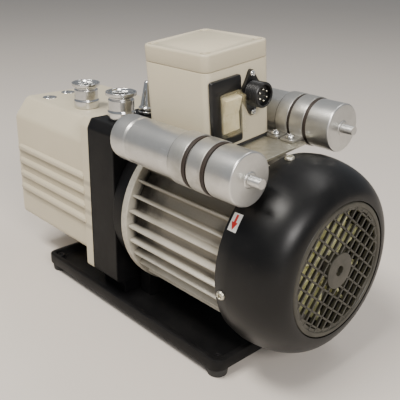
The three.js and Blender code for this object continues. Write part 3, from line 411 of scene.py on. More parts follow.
def bright_steel(name, tint=(0.72, 0.72, 0.71, 1)):
    """Turned and polished steel: fine lathe lines round it, soft smears, and a few duller spots."""
    f = Finish(name)
    lines = f.grain(1.0, 2, 0.6, f.stretched((300, 300, 5200)))
    smear = f.span(f.grain(70, 5, 0.6), 0.4, 0.75)
    colour = f.mix(smear * 0.5, tint, (0.50, 0.49, 0.46, 1))
    roughness = f.span(f.grain(110, 4), 0.3, 0.7, 0.1, 0.2) + smear * 0.12
    return f.coat(colour, roughness, lines, 0.02, metallic=1.0)


def oil_glass(name):
    """A thick glass with amber oil behind it: clear gloss over a warm, slightly cloudy body."""
    f = Finish(name)
    cloud = f.span(f.grain(160, 4), 0.35, 0.7)
    height = f.node("SeparateXYZ", None, {0: f.stretched((1000, 1000, 1000))}, output="Z")
    level = f.span(height, GLASS["z"] - GLASS["blur"], GLASS["z"] + GLASS["blur"], 1.0, 0.0)
    colour = f.mix(level, (0.42, 0.41, 0.36, 1), (0.33, 0.19, 0.035, 1))
    colour = f.mix(cloud * 0.25, colour, (0.16, 0.09, 0.02, 1))
    return f.coat(colour, 0.05 + cloud * 0.04, f.grain(300, 2), 0.02, coat_weight=1.0, coat_roughness=0.03)


BRIGHT = bright_steel("bright_turned_steel")
face = CASE["end"] - 0.3
bezel = eased([(face, 9), (face, GLASS["radius"]), (face - 4, GLASS["radius"] - 0.4),
               (face - 4, 10.2), (face - 1.4, 9.6)], 0.8)
fit(skin("oil_glass_bezel", [turned(bezel, (0, GLASS["z"]))], looped=(0,)), BRIGHT, "bright_steel")
dome = [(face + 3, 8.7), (face - 1.2, 8.9), (face - 1.9, 8.2),
        (face - 2.4, 6.2), (face - 2.7, 3.4), (face - 2.8, 0)]
lens = skin("oil_glass_lens", [turned(dome, (0, GLASS["z"]))])
fit(lens, oil_glass("oil_level_glass"), "sight_glass", "oil_sight_glass")
corner_radius = DRAIN["across"] / math.sqrt(3)
angles = np.arange(6) * math.pi / 3
hexagon = np.stack([DRAIN["y"] + corner_radius * np.cos(angles),
                    DRAIN["z"] + corner_radius * np.sin(angles)], -1)
washer = hoop((face, face - 1.2), DRAIN["bore"], DRAIN["washer"], 0.3, (DRAIN["y"], DRAIN["z"]), 96)
head = drawn(hexagon, (face - 1, face - DRAIN["head"]))
drain = skin("oil_drain_hexagon", [washer, head], bevel=0.7, looped=(0,))
fit(drain, BRIGHT, "bright_steel", "oil_drain_plug")


def slotted_top(x, y, radius, crown, deep, slot):
    """A plug's head as a polar grid: flat, 1.5 mm lower where |v| < slot, and eased at the rim."""
    r = np.concatenate([[0.0], np.linspace(0.15, 0.97, 15) * radius, [radius, radius]])[:, None]
    t = np.linspace(0, 2 * math.pi, 96, endpoint=False)
    v = np.abs(r * np.sin(t))
    inside = np.clip((radius * 0.82 - r) / 0.4, 0, 1)
    z = crown - 1.5 * np.clip((slot - v) / 0.3, 0, 1) * inside
    z[-2] -= 0.25
    z[-1] = crown - deep
    return along("z", x + r * np.cos(t), y + r * np.sin(t), z)[::-1]


for node, (x, y) in TOP_PLUGS.items():
    top = slotted_top(x, y, TOP_PLUG["radius"], CASE["top"] + TOP_PLUG["crown"], TOP_PLUG["deep"],
                      TOP_PLUG["slot"])
    fit(skin(node + "_head", [top]), BRIGHT, "bright_steel", node)

# ---- Vacuum connections ----
# Two turned stainless fittings with a small-flange top: inlet on the plate, exhaust on the oil case.
# Each has a 30 mm flange with a sloped back for its clamp, and a recess for a centring ring.
PORTS = {"inlet_port": (PLATE["top"], (20, -45)), "exhaust_port": (CASE["top"], (-68, -27))}
PORT = {"height": 27, "bore": 8, "tube": 10, "base": 13.5, "neck": 12.6, "groove": 11.4, "flange": 15}
for node, (base, at) in PORTS.items():
    top = base + PORT["height"]
    profile = eased([(base - 6, PORT["bore"]), (base - 6, PORT["tube"]), (base + 0.3, PORT["tube"]),
                     (base + 0.3, PORT["base"]), (base + 8, PORT["base"]), (base + 9.4, PORT["neck"]),
                     (top - 7.4, PORT["neck"]), (top - 6.6, PORT["groove"]), (top - 5.2, PORT["groove"]),
                     (top - 3.4, PORT["flange"]), (top, PORT["flange"]), (top, 13.2), (top - 2.5, 12.6),
                     (top - 2.5, PORT["bore"])], 0.7)
    fit(skin(node + "_fitting", [turned(profile, at, "z", 128)], looped=(0,)), BRIGHT, "bright_steel", node)

# ---- Gas ballast knob ----
# A knob of bright turned steel beside the inlet: a grooved collar under a long taper, on a stem in
# the plate. It is turned by hand to let a little air into the pump.
BALLAST = {"at": (20, -13), "stem": 5, "stem_length": 8, "collar": 9, "tip": 3, "height": 33}
base = PLATE["top"]
end = base + BALLAST["height"]
profile = eased([(base - BALLAST["stem_length"], 0), (base - BALLAST["stem_length"], BALLAST["stem"]),
                 (base + 0.3, BALLAST["stem"]), (base + 0.3, BALLAST["collar"]),
                 (base + 3, BALLAST["collar"]), (base + 3.5, BALLAST["collar"] - 0.6),
                 (base + 4, BALLAST["collar"]), (base + 7, BALLAST["collar"]),
                 (base + 8, BALLAST["collar"] - 1.6), (end - 1.5, BALLAST["tip"]),
                 (end, BALLAST["tip"] - 1.2), (end, 0)], 0.8, closed=False)
knob = skin("gas_ballast_cone", [turned(profile, BALLAST["at"], "z", 72)])
fit(knob, BRIGHT, "bright_steel", "gas_ballast_knob", body="ballast_knob")

# ---- Coupling housing ----
# A short cast ring round the coupling, turned and painted black, that joins the motor to the plate.
# Two legs cast with it stand in the tray.
HOUSING = {"x": (40.3, 61.7), "radius": 74, "wall": 12}
HOUSING_LEG = {"x": (43.3, 58.7), "y": 34, "half": 9, "top": SHAFT_HEIGHT - 60}
drum = hoop(HOUSING["x"], HOUSING["radius"] - HOUSING["wall"], HOUSING["radius"], 1.5, (0, SHAFT_HEIGHT))
housing = skin("coupling_housing_casting", [drum, *legs(**HOUSING_LEG)], looped=(0,))
fit(housing, BLACK_PAINT, "black_paint", "coupling_housing")

# ---- Motor: drive end ring and finned barrel ----
# Bare cast aluminium. The barrel has cooling fins all round, and a flat pad for the terminal box.
# The whole motor is mounted a few degrees round the shaft, so its box leans.
MOTOR_TURN = math.radians(6)
SHIELD = {"x": (62, 70), "radius": 80, "lip": 71, "web": 67, "web_radius": 66, "boss": 22.5, "boss_end": 73}
BEARING_SEAT = {"radius": 17.3, "from": 63.7, "shaft_hole": 11}
BARREL = {"x": (70.3, 196), "radius": 69, "inside": 65, "fin": 78, "fins": 32, "root": 2.9, "tip": 1.9}
PAD = {"x": (78, 142), "half": 30, "under": 62, "top": 80.4}
# Painted shade in the fin valleys: the radii over which it fades out, and the x over which it fades from
# darkest at the drive end.
FIN_SHADE = {"valley": (70.5, 76.5), "near_ring_shade": (98, 132)}


def on_motor(points):
    """Places in mm with z from the shaft: y and z turn together about the shaft by the motor's lean."""
    x, y, z = np.moveaxis(np.asarray(points, float), -1, 0)
    c, s = math.cos(MOTOR_TURN), math.sin(MOTOR_TURN)
    return on_table(np.stack([x, y * c - z * s, SHAFT_HEIGHT + y * s + z * c], -1))


def cast_aluminium(name, light, dark):
    """Sand-cast aluminium: a dull metal with a grainy skin, and brown-grey dirt in soft patches."""
    f = Finish(name)
    skin_grain = f.grain(700, 4, 0.65)
    dirt = f.span(f.grain(26, 5, 0.6), 0.38, 0.72)
    colour = f.mix(dirt, light, dark)
    colour = f.mix(f.span(f.grain(240, 3), 0.5, 0.8) * 0.4, colour, (0.24, 0.215, 0.17, 1))
    roughness = f.span(skin_grain, 0.3, 0.7, 0.46, 0.66)
    return f.coat(colour, roughness, skin_grain + f.grain(90, 3) * 0.8, 0.16, metallic=0.55)


CAST = cast_aluminium("cast_aluminium", (0.56, 0.53, 0.45, 1), (0.43, 0.40, 0.325, 1))
x0, x1 = SHIELD["x"]
profile = eased([(x0, BEARING_SEAT["shaft_hole"]), (x0, SHIELD["radius"]), (x1, SHIELD["radius"]),
                 (x1, SHIELD["lip"]), (SHIELD["web"], SHIELD["web_radius"]), (SHIELD["web"], SHIELD["boss"]),
                 (SHIELD["boss_end"], SHIELD["boss"]), (SHIELD["boss_end"], BEARING_SEAT["radius"]),
                 (BEARING_SEAT["from"], BEARING_SEAT["radius"]),
                 (BEARING_SEAT["from"], BEARING_SEAT["shaft_hole"])], 1.2)
shield = skin("drive_end_casting", [turned(profile, sides=144)], on_motor, looped=(0,))
fit(shield, CAST, "cast_aluminium", "drive_end_shield")


def finned_casting_painted_shade(name):
    """The same casting with painted shade by place: dark in the valleys, where y^2 + z^2 about the shaft is
    small, darkest towards the drive end, and unshaded on the crests of the fins; soft patches of dirt lie all
    over."""
    f = Finish(name)
    at = f.stretched((1000, 1000, 1000), on_motor((0, 0, 0)))
    x, y, z = (f.node("SeparateXYZ", None, {0: at}, output=k) for k in "XYZ")
    deep, shallow = FIN_SHADE["valley"]
    # Painted shade: the valleys darken by radius about the shaft, and darker still towards the drive end.
    valley = f.span(y * y + z * z, deep ** 2, shallow ** 2, 1.0, 0.0)
    near_ring_shade = f.span(x + f.grain(60, 4) * 40, *FIN_SHADE["near_ring_shade"], 1.0, 0.0)
    patch = f.span(f.grain(34, 5, 0.6), 0.35, 0.75)
    unshaded_casting = f.mix(patch, (0.56, 0.53, 0.455, 1), (0.43, 0.40, 0.33, 1))
    shaded = f.mix(near_ring_shade, (0.30, 0.275, 0.225, 1), (0.03, 0.026, 0.02, 1))
    skin_grain = f.grain(700, 4, 0.65)
    roughness = f.span(skin_grain, 0.3, 0.7, 0.44, 0.62) + valley * 0.12
    height = skin_grain + f.grain(90, 3) * 0.8
    return f.coat(f.mix(valley, unshaded_casting, shaded), roughness, height, 0.14, metallic=0.45)


def finned_outline():
    """The barrel's section as radius against angle: flat valleys, with fins that narrow from root to tip.
    Each fin is eight points, at angle = middle + half width / radius, up one flank and down the other."""
    middle = (np.arange(BARREL["fins"]) + 0.5) * 2 * math.pi / BARREL["fins"]
    low, high, root, tip = BARREL["radius"], BARREL["fin"], BARREL["root"], BARREL["tip"]
    half = np.array([-root, -root / 1.5, -tip / 1.8, -tip / 3, tip / 3, tip / 1.8, root / 1.5, root])
    radius = np.array([low, low + 0.8, high - 0.8, high, high, high - 0.8, low + 0.8, low])
    angle = (middle[:, None] + half / radius).ravel()
    radius = np.broadcast_to(radius, (BARREL["fins"], len(half))).ravel()
    return np.stack([radius * np.cos(angle), radius * np.sin(angle)], -1)


outside = finned_outline()
inside = outside / np.linalg.norm(outside, axis=1, keepdims=True) * BARREL["inside"]
x0, x1 = BARREL["x"]
barrel_rings = np.concatenate([drawn(inside, [x0]), drawn(outside * 0.99, [x0]),
                               drawn(outside, [x0 + 1, x1 - 1]),
                               drawn(outside * 0.99, [x1]), drawn(inside, [x1])])
pad = bar(PAD["x"], (-PAD["half"], PAD["half"]), (PAD["under"], PAD["top"]))
barrel = skin("motor_barrel", [barrel_rings, pad], on_motor, edge=50, looped=(0,))
# The barrel carries painted shade in its fin valleys.
fit(barrel, finned_casting_painted_shade("finned_casting_painted_shade"), "cast_aluminium", "motor_housing")

# ---- Fan cowl ----
# A deep-drawn sheet steel cover over the cooling fan, sprayed satin black. It slips over the rear end
# shield and narrows in a full curve to the rim of the grille.
COWL = {"x": 194, "widest": 206, "end": 254, "mouth": 85, "radius": 87, "opening": 60, "wall": 2,
        "power": 2.1}


def cowl_line(inset):
    """The cowl's section: straight from the mouth to the widest ring, then a superellipse to the opening,
    x = widest + reach sin(s)^(2/p) and r = opening + drop cos(s)^(2/p), drawn in by inset."""
    s = np.linspace(0, math.pi / 2, 40)
    reach = COWL["end"] - COWL["widest"] - inset
    drop = COWL["radius"] - COWL["opening"] - inset
    x = COWL["widest"] + reach * np.sin(s) ** (2 / COWL["power"])
    r = COWL["opening"] + drop * np.clip(np.cos(s), 0, 1) ** (2 / COWL["power"])
    mouth = [(COWL["x"], COWL["mouth"] - inset), (COWL["x"] + 5, COWL["mouth"] + 1 - inset)]
    return np.concatenate([mouth, np.stack([x, r], -1)])


def cowl_paint(name):
    """Satin black paint on drawn steel: soft-edged shine, faint ripples, dust and a few fine scuffs."""
    f = Finish(name)
    dust = f.span(f.grain(14, 6, 0.7), 0.45, 0.8)
    scuffs = f.span(f.grain(1.0, 3, 0.7, f.stretched((35, 420, 90))), 0.66, 0.74)
    colour = f.mix(dust * 0.25 + scuffs * 0.2, (0.003, 0.003, 0.0032, 1), (0.03, 0.028, 0.026, 1))
    roughness = f.span(f.grain(40, 5), 0.3, 0.75, 0.31, 0.4) + scuffs * 0.12
    ripples = f.grain(60, 2) * 0.5 + f.grain(500, 2) * 0.25
    return f.coat(colour, roughness, ripples, 0.06, specular_ior_level=0.3)


COWL_BLACK = cowl_paint("satin_black_cowl_paint")
cowl_rings = turned(np.concatenate([cowl_line(0), cowl_line(COWL["wall"])[::-1]]), sides=192)
cowl = skin("fan_cowl_shell", [cowl_rings], on_motor, edge=60, looped=(0,))
fit(cowl, COWL_BLACK, "black_paint", "fan_cowl")

# ---- Direction sticker ----
# A small label of white film printed with a red arrow, which shows which way the motor turns.
# It is stuck on the cowl beside its mouth, and follows the cowl's curve.
STICKER = {"x": (197, 207), "turn": (math.radians(-34), math.radians(-44)), "proud": 0.25, "film": 0.15}


def sticker_paper(name):
    """White film with a red arrow: a shaft, and a head that narrows to its point, drawn on the UV map."""
    f = Finish(name)
    uv = f.node("UVMap", {"uv_map": "label"})
    u = f.node("SeparateXYZ", None, {0: uv}, output="X")
    v = f.node("SeparateXYZ", None, {0: uv}, output="Y")
    off = f.node("Math", {"operation": "ABSOLUTE"}, {0: u - 0.5})

    def below(a, b):
        return f.node("Math", {"operation": "LESS_THAN"}, {0: a, 1: b})

    shaft = below(off, 0.13) * below(v, 0.92) * below(0.45 - v, 0.0)
    head = below(off, (v - 0.06) * 0.8) * below(v, 0.5)
    mark = f.node("Math", {"operation": "MAXIMUM"}, {0: shaft, 1: head})
    paper = f.mix(f.span(f.grain(300, 4), 0.4, 0.7) * 0.4, (0.78, 0.77, 0.74, 1), (0.62, 0.60, 0.56, 1))
    colour = f.mix(mark, paper, (0.55, 0.02, 0.015, 1))
    return f.coat(colour, 0.35 + f.grain(500, 3) * 0.1, f.grain(900, 2), 0.02)


def sticker_sheet(steps=12):
    """A patch of the cowl's surface between two places along it and two turns round it, lifted a little."""
    line = cowl_line(-STICKER["proud"])
    x = np.linspace(*STICKER["x"], steps)
    r = np.interp(x, line[:, 0], line[:, 1])
    turn = np.linspace(*STICKER["turn"], steps)[:, None]
    grid = np.stack([np.broadcast_to(x, (steps, steps)), -r * np.cos(turn), -r * np.sin(turn)], -1)
    mesh = bpy.data.meshes.new("direction_sticker")
    cell = np.arange(steps * steps).reshape(steps, steps)
    faces = np.stack([cell[:-1, :-1], cell[:-1, 1:], cell[1:, 1:], cell[1:, :-1]], -1).reshape(-1, 4)
    mesh.from_pydata(on_motor(grid).reshape(-1, 3), [], faces.tolist())
    u, v = np.meshgrid(np.linspace(0, 1, steps), np.linspace(0, 1, steps))
    uv = np.stack([u.ravel(), v.ravel()], -1)[faces.ravel()]
    mesh.uv_layers.new(name="label").data.foreach_set("uv", uv.ravel())
    sheet = placed("direction_sticker", mesh)
    film = sheet.modifiers.new("film", "SOLIDIFY")
    film.thickness = STICKER["film"] / 1000
    return sheet


fit(sticker_sheet(), sticker_paper("direction_sticker_film"), "cream_paint")

# ---- Fan grille ----
# One moulding of dark olive plastic that snaps into the cowl: a stepped rim, a diagonal square lattice
# on a 10 mm pitch, and a plain boss in the middle with a hole in it.
GRILLE = {"x": (250, 254), "outer": 59.2, "rim": 7, "bar": 1.7, "sunk": 0.6, "pitch": 10, "each_side": 5,
          "hub": 16, "hole": 4.5}


def moulded_plastic(name, light, dark, roughness=0.42, fine=900):
    """Moulded plastic: an even body, a satin skin with a fine spark texture, and dust caught on it."""
    f = Finish(name)
    dust = f.span(f.grain(55, 6, 0.7), 0.4, 0.75)
    satin = f.span(f.grain(120), 0.3, 0.7, roughness - 0.06, roughness + 0.08)
    return f.coat(f.mix(dust, light, dark), satin, f.grain(fine, 2), 0.04)


def lattice(turn):
    """Square bars laid at one pitch and turned together: each runs from rim to rim, or from rim to boss."""
    c, s = math.cos(turn), math.sin(turn)
    depth = (GRILLE["x"][0] + GRILLE["sunk"], GRILLE["x"][1] - GRILLE["sunk"])
    half, bars = GRILLE["bar"] / 2, []
    for y in np.arange(-GRILLE["each_side"], GRILLE["each_side"] + 1) * GRILLE["pitch"]:
        reach = math.sqrt((GRILLE["outer"] - 2) ** 2 - y * y)
        spans = [(-reach, reach)]
        if abs(y) < GRILLE["hub"] - 1:
            inner = math.sqrt((GRILLE["hub"] - 1) ** 2 - y * y)
            spans = [(-reach, -inner), (inner, reach)]
        for start, end in spans:
            flat = np.array([(y - half, start), (y + half, start), (y + half, end), (y - half, end)])
            bars.append(drawn(flat @ np.array([(c, s), (-s, c)]), depth))
    return bars


x0, x1 = GRILLE["x"]
edge, foot = GRILLE["outer"], GRILLE["outer"] - GRILLE["rim"]
rim = turned(eased([(x0, foot + 2), (x0, edge), (x1 - 0.6, edge), (x1, edge - 1), (x1, foot + 3),
                    (x1 - 1, foot + 2.4), (x1 - 1, foot), (x0 + 1, foot)], 0.4), sides=144)
boss = hoop(GRILLE["x"], GRILLE["hole"], GRILLE["hub"], 0.5, sides=96)
bars = lattice(math.pi / 4) + lattice(-math.pi / 4)
GRILLE_PLASTIC = moulded_plastic("olive_grille_plastic", (0.024, 0.022, 0.015, 1), (0.052, 0.048, 0.034, 1))
grille = skin("fan_grille_moulding", [rim, boss, *bars], on_motor, bevel=0.3, looped=(0, 1))
fit(grille, GRILLE_PLASTIC, "grille_plastic", "fan_grille")


def dress(finish, *nodes):
    """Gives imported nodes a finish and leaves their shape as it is."""
    for name in nodes:
        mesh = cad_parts[name].data
        mesh.materials.clear()
        mesh.materials.append(finish)


# ---- Cooling fan ----
# A fan moulded in yellow-green plastic and pressed on the motor's shaft, seen through the grille.
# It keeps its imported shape.
FAN_PLASTIC = moulded_plastic("yellow_green_fan_plastic", (0.80, 0.78, 0.42, 1), (0.62, 0.60, 0.32, 1), 0.5)
dress(FAN_PLASTIC, "cooling_fan")

# ---- Cowl screws ----
# Four pan-head screws with a cross recess, of zinc-plated steel. They go through the cowl near its
# mouth, into the rear end shield.
COWL_SCREWS = {"x": 203, "turns": (2, 92, 182, 272), "radius": 4.2, "height": 2.6, "length": 10}


def zinc_plate(name):
    """Zinc plate gone slightly yellow: a satin metal with cloudy crystals and dull rubbed spots."""
    f = Finish(name)
    flake = f.cells(260.0, output="Color")
    shade = f.node("SeparateColor", None, {0: flake}, output=0)
    dull = f.span(f.grain(80, 5), 0.4, 0.75)
    colour = f.mix(shade, (0.62, 0.60, 0.52, 1), (0.50, 0.475, 0.38, 1))
    colour = f.mix(dull * 0.45, colour, (0.34, 0.31, 0.24, 1))
    return f.coat(colour, 0.28 + dull * 0.2 + shade * 0.06, f.grain(900, 3), 0.03, metallic=0.9)


ZINC = zinc_plate("zinc_plate")


def pan_head(radius, height, seat, shank=1.6, point=5.0):
    """A pan head with a cross recess, as a polar grid: height h (1 - (r/R)^4)^(1/2), less the depth of a
    cross that fades out towards its ends, then its shank below. Rings of (u, v, w), w from the seat."""
    r = np.concatenate([np.linspace(0, 0.96, 17), [1.0]])[:, None] * radius
    t = np.linspace(0, 2 * math.pi, 64, endpoint=False)
    u, v = r * np.cos(t), r * np.sin(t)
    w = height * np.sqrt(np.clip(1 - (r / radius) ** 4, 0.02, 1)) + 0 * t
    arm = 0.2 * radius
    cross = np.maximum(np.clip((arm - np.abs(u)) / 0.25, 0, 1), np.clip((arm - np.abs(v)) / 0.25, 0, 1))
    w = w - 0.55 * height * cross * np.clip((0.62 * radius - r) / 0.5, 0, 1)
    below = [(radius, 0.0), (shank, 0.0), (shank, -point)]
    rings = [np.stack([u, v, w], -1)] + [
        np.stack([q * np.cos(t), q * np.sin(t), np.full_like(t, h)], -1)[None] for q, h in below]
    return np.concatenate(rings) + np.array([0, 0, seat])


def round_the_shaft(rings, x, turn):
    """A screw standing out from the shaft: its w is the distance from the shaft, in the direction turned
    about +X from straight up, and its u runs along the shaft from x."""
    u, v, w = np.moveaxis(rings, -1, 0)
    c, s = math.cos(turn), math.sin(turn)
    return np.stack([x + u, v * c - w * s, v * s + w * c], -1)


def screw(node, head, finish, slot):
    """Skins a screw's head on the motor and stands it for the screw's node."""
    fit(skin(node + "_head", [head], on_motor), finish, slot, node)


for i, degrees in enumerate(COWL_SCREWS["turns"]):
    head = pan_head(COWL_SCREWS["radius"], COWL_SCREWS["height"], COWL["radius"] + 0.1,
                    point=COWL_SCREWS["length"])
    standing = round_the_shaft(head, COWL_SCREWS["x"], math.radians(degrees))
    screw(f"cowl_screw_{i + 1}", standing, ZINC, "zinc_steel")

# ---- Capacitor bracket and clamps ----
# A flat zinc-plated sheet under the terminal box carries two capacitors in pairs of strip-metal bands.
# Each band is lined with a dark brown strip, which also stands out past the band's edges as painted shade,
# most towards the cowl; its tab lies under a pan-head screw.
SHEET = {"x": (72, 184), "half": 42, "z": (80.7, 83.2)}
CAN_AT = {"near": (-65, 94), "far": (65, 94)}
BANDS = {"near_clamp_1": ("near", 149, 165), "near_clamp_2": ("near", 171, 186),
         "far_clamp_1": ("far", 147.5, 160.5), "far_clamp_2": ("far", 163.5, 178)}
BAND = {"inner": 20.8, "outer": 22.4, "tab": (SHEET["z"][1] + 0.3, SHEET["z"][1] + 2.5), "screw_y": 36}
LINER_AND_SHADE_REACH = {"inner": 20.45, "outer": 21.7, "before": 1, "past": 3.4}
CLAMP_SCREWS = ("far_clamp_1", "far_clamp_2", "near_clamp_1", "near_clamp_2")
CLAMP_SCREW = {"radius": 4.2, "height": 3.0, "shank": 2.0, "seat": BAND["tab"][1] + 0.3}


def band_metal(name):
    """Galvanized strip: bright satin metal with fine rolling lines round it, and brown stain in places."""
    f = Finish(name)
    lines = f.grain(1.0, 3, 0.6, f.stretched((1900, 40, 40)))
    dull = f.span(f.grain(60, 5), 0.4, 0.75)
    stain = f.span(f.grain(36, 6, 0.7), 0.58, 0.8)
    colour = f.mix(dull, (0.60, 0.59, 0.56, 1), (0.42, 0.41, 0.37, 1))
    colour = f.mix(stain * 0.5, colour, (0.20, 0.14, 0.08, 1))
    return f.coat(colour, 0.3 + dull * 0.16 + lines * 0.06, lines + f.grain(500, 2), 0.04, metallic=0.9)


BAND_METAL = band_metal("galvanized_strip")
LINER_AND_SHADE_PLASTIC = moulded_plastic("brown_liner_and_painted_shade", (0.026, 0.015, 0.009, 1), (0.012, 0.008, 0.006, 1), 0.6)
plain_sheet = bar(SHEET["x"], (-SHEET["half"], SHEET["half"]), SHEET["z"])
sheet = skin("capacitor_bracket_sheet", [plain_sheet], on_motor, bevel=0.5)
fit(sheet, ZINC, "zinc_steel", "capacitor_bracket")
for node, (side, x0, x1) in BANDS.items():
    centre = CAN_AT[side]
    sign = math.copysign(1, centre[0])
    reach = sorted((sign * (BAND["screw_y"] - 5), sign * (abs(centre[0]) - BAND["inner"] + 2)))
    stacks = [hoop((x0, x1), BAND["inner"], BAND["outer"], 0.5, centre), bar((x0, x1), reach, BAND["tab"])]
    band = skin(node + "_band", stacks, on_motor, bevel=0.25, looped=(0,))
    fit(band, BAND_METAL, "can_aluminium", node)
    # Painted shade: the dark strip runs 1 mm past the band's drive-end edge and 3.4 mm past its cowl-end
    # edge, darkening the can beside the band.
    strip = hoop((x0 - LINER_AND_SHADE_REACH["before"], x1 + LINER_AND_SHADE_REACH["past"]), LINER_AND_SHADE_REACH["inner"], LINER_AND_SHADE_REACH["outer"], 0.4, centre)
    fit(skin(node + "_liner", [strip], on_motor, looped=(0,)), LINER_AND_SHADE_PLASTIC, "rubber")
for i, node in enumerate(CLAMP_SCREWS):
    side, x0, x1 = BANDS[node]
    at = ((x0 + x1) / 2, math.copysign(BAND["screw_y"], CAN_AT[side][0]))
    screw(f"clamp_screw_{i + 1}", pan_head(**CLAMP_SCREW) + np.array([*at, 0]), BRIGHT, "bright_steel")

# ---- Motor capacitors ----
# Two drawn aluminium cans lie along the motor, one at each side of the box. Each has a flat end with
# a rounded edge, a rolled groove, a slightly wider cap, and a threaded stud in the middle of the cap.
CAN = {"radius": 20.5, "length": 151, "cap": 27, "cap_radius": 21.5, "stud": 4, "stud_length": 12,
       "thread": 1.25}
CAN_FROM = {"near": 66, "far": 54}


def drawn_aluminium(name):
    """Drawn aluminium: fine lines round the can, soft grey smears, and small bright scratches along it."""
    f = Finish(name)
    lines = f.grain(1.0, 3, 0.6, f.stretched((2600, 30, 30)))
    smear = f.span(f.grain(28, 6, 0.65), 0.4, 0.75)
    scratch = f.span(f.grain(1.0, 2, 0.5, f.stretched((60, 900, 900))), 0.68, 0.72)
    colour = f.mix(smear, (0.66, 0.655, 0.63, 1), (0.50, 0.49, 0.46, 1))
    colour = f.mix(scratch * 0.5, colour, (0.85, 0.85, 0.84, 1))
    height = lines + f.grain(30, 2) * 2
    return f.coat(colour, 0.27 + smear * 0.14 + lines * 0.08, height, 0.035, metallic=0.92)


CAN_METAL = drawn_aluminium("drawn_aluminium")


def can_profile(start):
    """The can's section along x: flat end, rolled groove, wall, plain cap, and a stud with thread ridges."""
    end, cap = start + CAN["length"], start + CAN["length"] - CAN["cap"]
    body, wide, stud = CAN["radius"], CAN["cap_radius"], CAN["stud"]
    wall = eased([(start, 0), (start, body - 6), (start + 4, body - 0.6), (start + 8, body),
                  (start + 22, body), (start + 24, body - 1.3), (start + 26, body),
                  (cap - 2.5, body), (cap - 1.5, body - 0.8),
                  (cap, body - 0.8), (cap + 0.6, wide), (end - 0.8, wide), (end, wide - 0.8),
                  (end, 6.4), (end + 0.7, 6), (end + 0.7, stud)], 0.7, closed=False)
    turns = np.linspace(0, CAN["stud_length"] / CAN["thread"], 80)
    ridge = stud - 0.45 * np.abs((turns % 1) * 2 - 1)
    thread = np.stack([end + turns * CAN["thread"], ridge], -1)
    tip = [(end + CAN["stud_length"], 0)]
    return np.concatenate([wall, thread, tip])


for side, start in CAN_FROM.items():
    can = skin(f"{side}_capacitor_can", [turned(can_profile(start), CAN_AT[side], sides=128)], on_motor)
    fit(can, CAN_METAL, "can_aluminium", f"{side}_capacitor")

# ---- Terminal box ----
# A deep box, painted cream, that stands on a black rubber gasket on the bracket. Its shallow lid is
# painted with it, and held by four screws sunk in its corners.
BOX = {"x": (66, 146), "half": 38, "under": 85.8, "seam": 155, "lid": 155.3, "top": 170, "corner": 8}
JOINT = {"from": SHEET["z"][1] + 0.3, "to": BOX["under"] - 0.3}
WELL = {"inset": 7.5, "radius": 4.4, "deep": 4}
LID_SCREW = {"radius": 3.8, "height": 2.3, "seat": BOX["top"] - WELL["deep"] + 0.1}
span_y = (-BOX["half"], BOX["half"])
box = skin("terminal_box_shell", [pressed(BOX["x"], span_y, BOX["corner"], [
    (0.8, BOX["under"]), (0.1, BOX["under"] + 0.7), (0, BOX["under"] + 1.4), (0, BOX["seam"] - 0.7),
    (0.25, BOX["seam"] - 0.2), (0.6, BOX["seam"])])], on_motor)
fit(box, CREAM, "cream_paint", "terminal_box")
pad = skin("terminal_box_joint", [pressed(BOX["x"], span_y, BOX["corner"], [
    (0.3, JOINT["from"]), (0, JOINT["from"] + 0.5), (0, JOINT["to"] - 0.5), (0.3, JOINT["to"])])], on_motor)
fit(pad, RUBBER, "rubber", "terminal_box_gasket")
top, seam = BOX["top"], BOX["lid"]
well = [(top - WELL["deep"], WELL["radius"]), (top - 0.4, WELL["radius"]), (top, WELL["radius"] + 0.4)]
screw_places = near_corners(BOX["x"], span_y, WELL["inset"])
wells = [turned(well, at, "z", 32) for at in screw_places]
cover = pressed(BOX["x"], span_y, BOX["corner"], [
    (0.6, seam), (0.2, seam + 0.3), (0, seam + 0.8), (0, top - 2), (0.15, top - 1.2),
    (0.6, top - 0.5), (1.3, top - 0.1), (2, top)])
lid = skin("terminal_box_cover", [cover, *wells], on_motor, edge=50, opened=range(1 + len(wells)))
fit(lid, CREAM, "cream_paint", "terminal_box_lid")
for i, at in enumerate(screw_places):
    screw(f"lid_screw_{i + 1}", pan_head(**LID_SCREW) + np.array([*at, 0]), ZINC, "zinc_steel")

# ---- Rocker switch ----
# A black frame snapped into the box's wall holds an ivory rocker; both are moulded plastic.
# A clear vinyl boot over the rocker, yellowed and creased with age, keeps oil out of it.
SWITCH = {"y": (-36, -1), "z": (90, 148), "window_y": (-25, -4), "window_z": (100, 134),
          "wall": BOX["x"][1] + 0.3, "face": 149.5, "back": 134.3}
ROCKER = {"y": (-24, -5), "pivot": (144, 117), "half": 15.5, "tilt": math.radians(8)}
BOOT = {"y": (-27, -2), "z": (98, 136), "corner": 4, "flange": SWITCH["face"] + 0.3}
BLACK_PLASTIC = moulded_plastic("black_moulded_plastic", (0.004, 0.004, 0.0045, 1),
                                (0.012, 0.0115, 0.011, 1), 0.34)


def switch_rim():
    """The frame's skin: eased rectangles from the wall out to its face, each the rim drawn in by some mm,
    then from the face back through the window, each some share of the way from the rim to the window."""
    face = SWITCH["face"]
    y, z, wy, wz = (np.array(SWITCH[k], float) for k in ("y", "z", "window_y", "window_z"))
    shape = []
    for inset, x in ((0, SWITCH["wall"]), (0, face - 0.9), (0.4, face - 0.2), (1.1, face)):
        around = rectangle((y[0] + inset, y[1] - inset), (z[0] + inset, z[1] - inset), 2.5)
        shape.append(drawn(around, [x]))
    for share, x in ((0.93, face), (1, face - 0.4), (1, SWITCH["back"])):
        around = rectangle(y + (wy - y) * share, z + (wz - z) * share, 1.5)
        shape.append(drawn(around, [x]))
    return np.concatenate(shape)


fit(skin("switch_bezel", [switch_rim()], on_motor, edge=40), BLACK_PLASTIC, "black_plastic", "switch_frame")


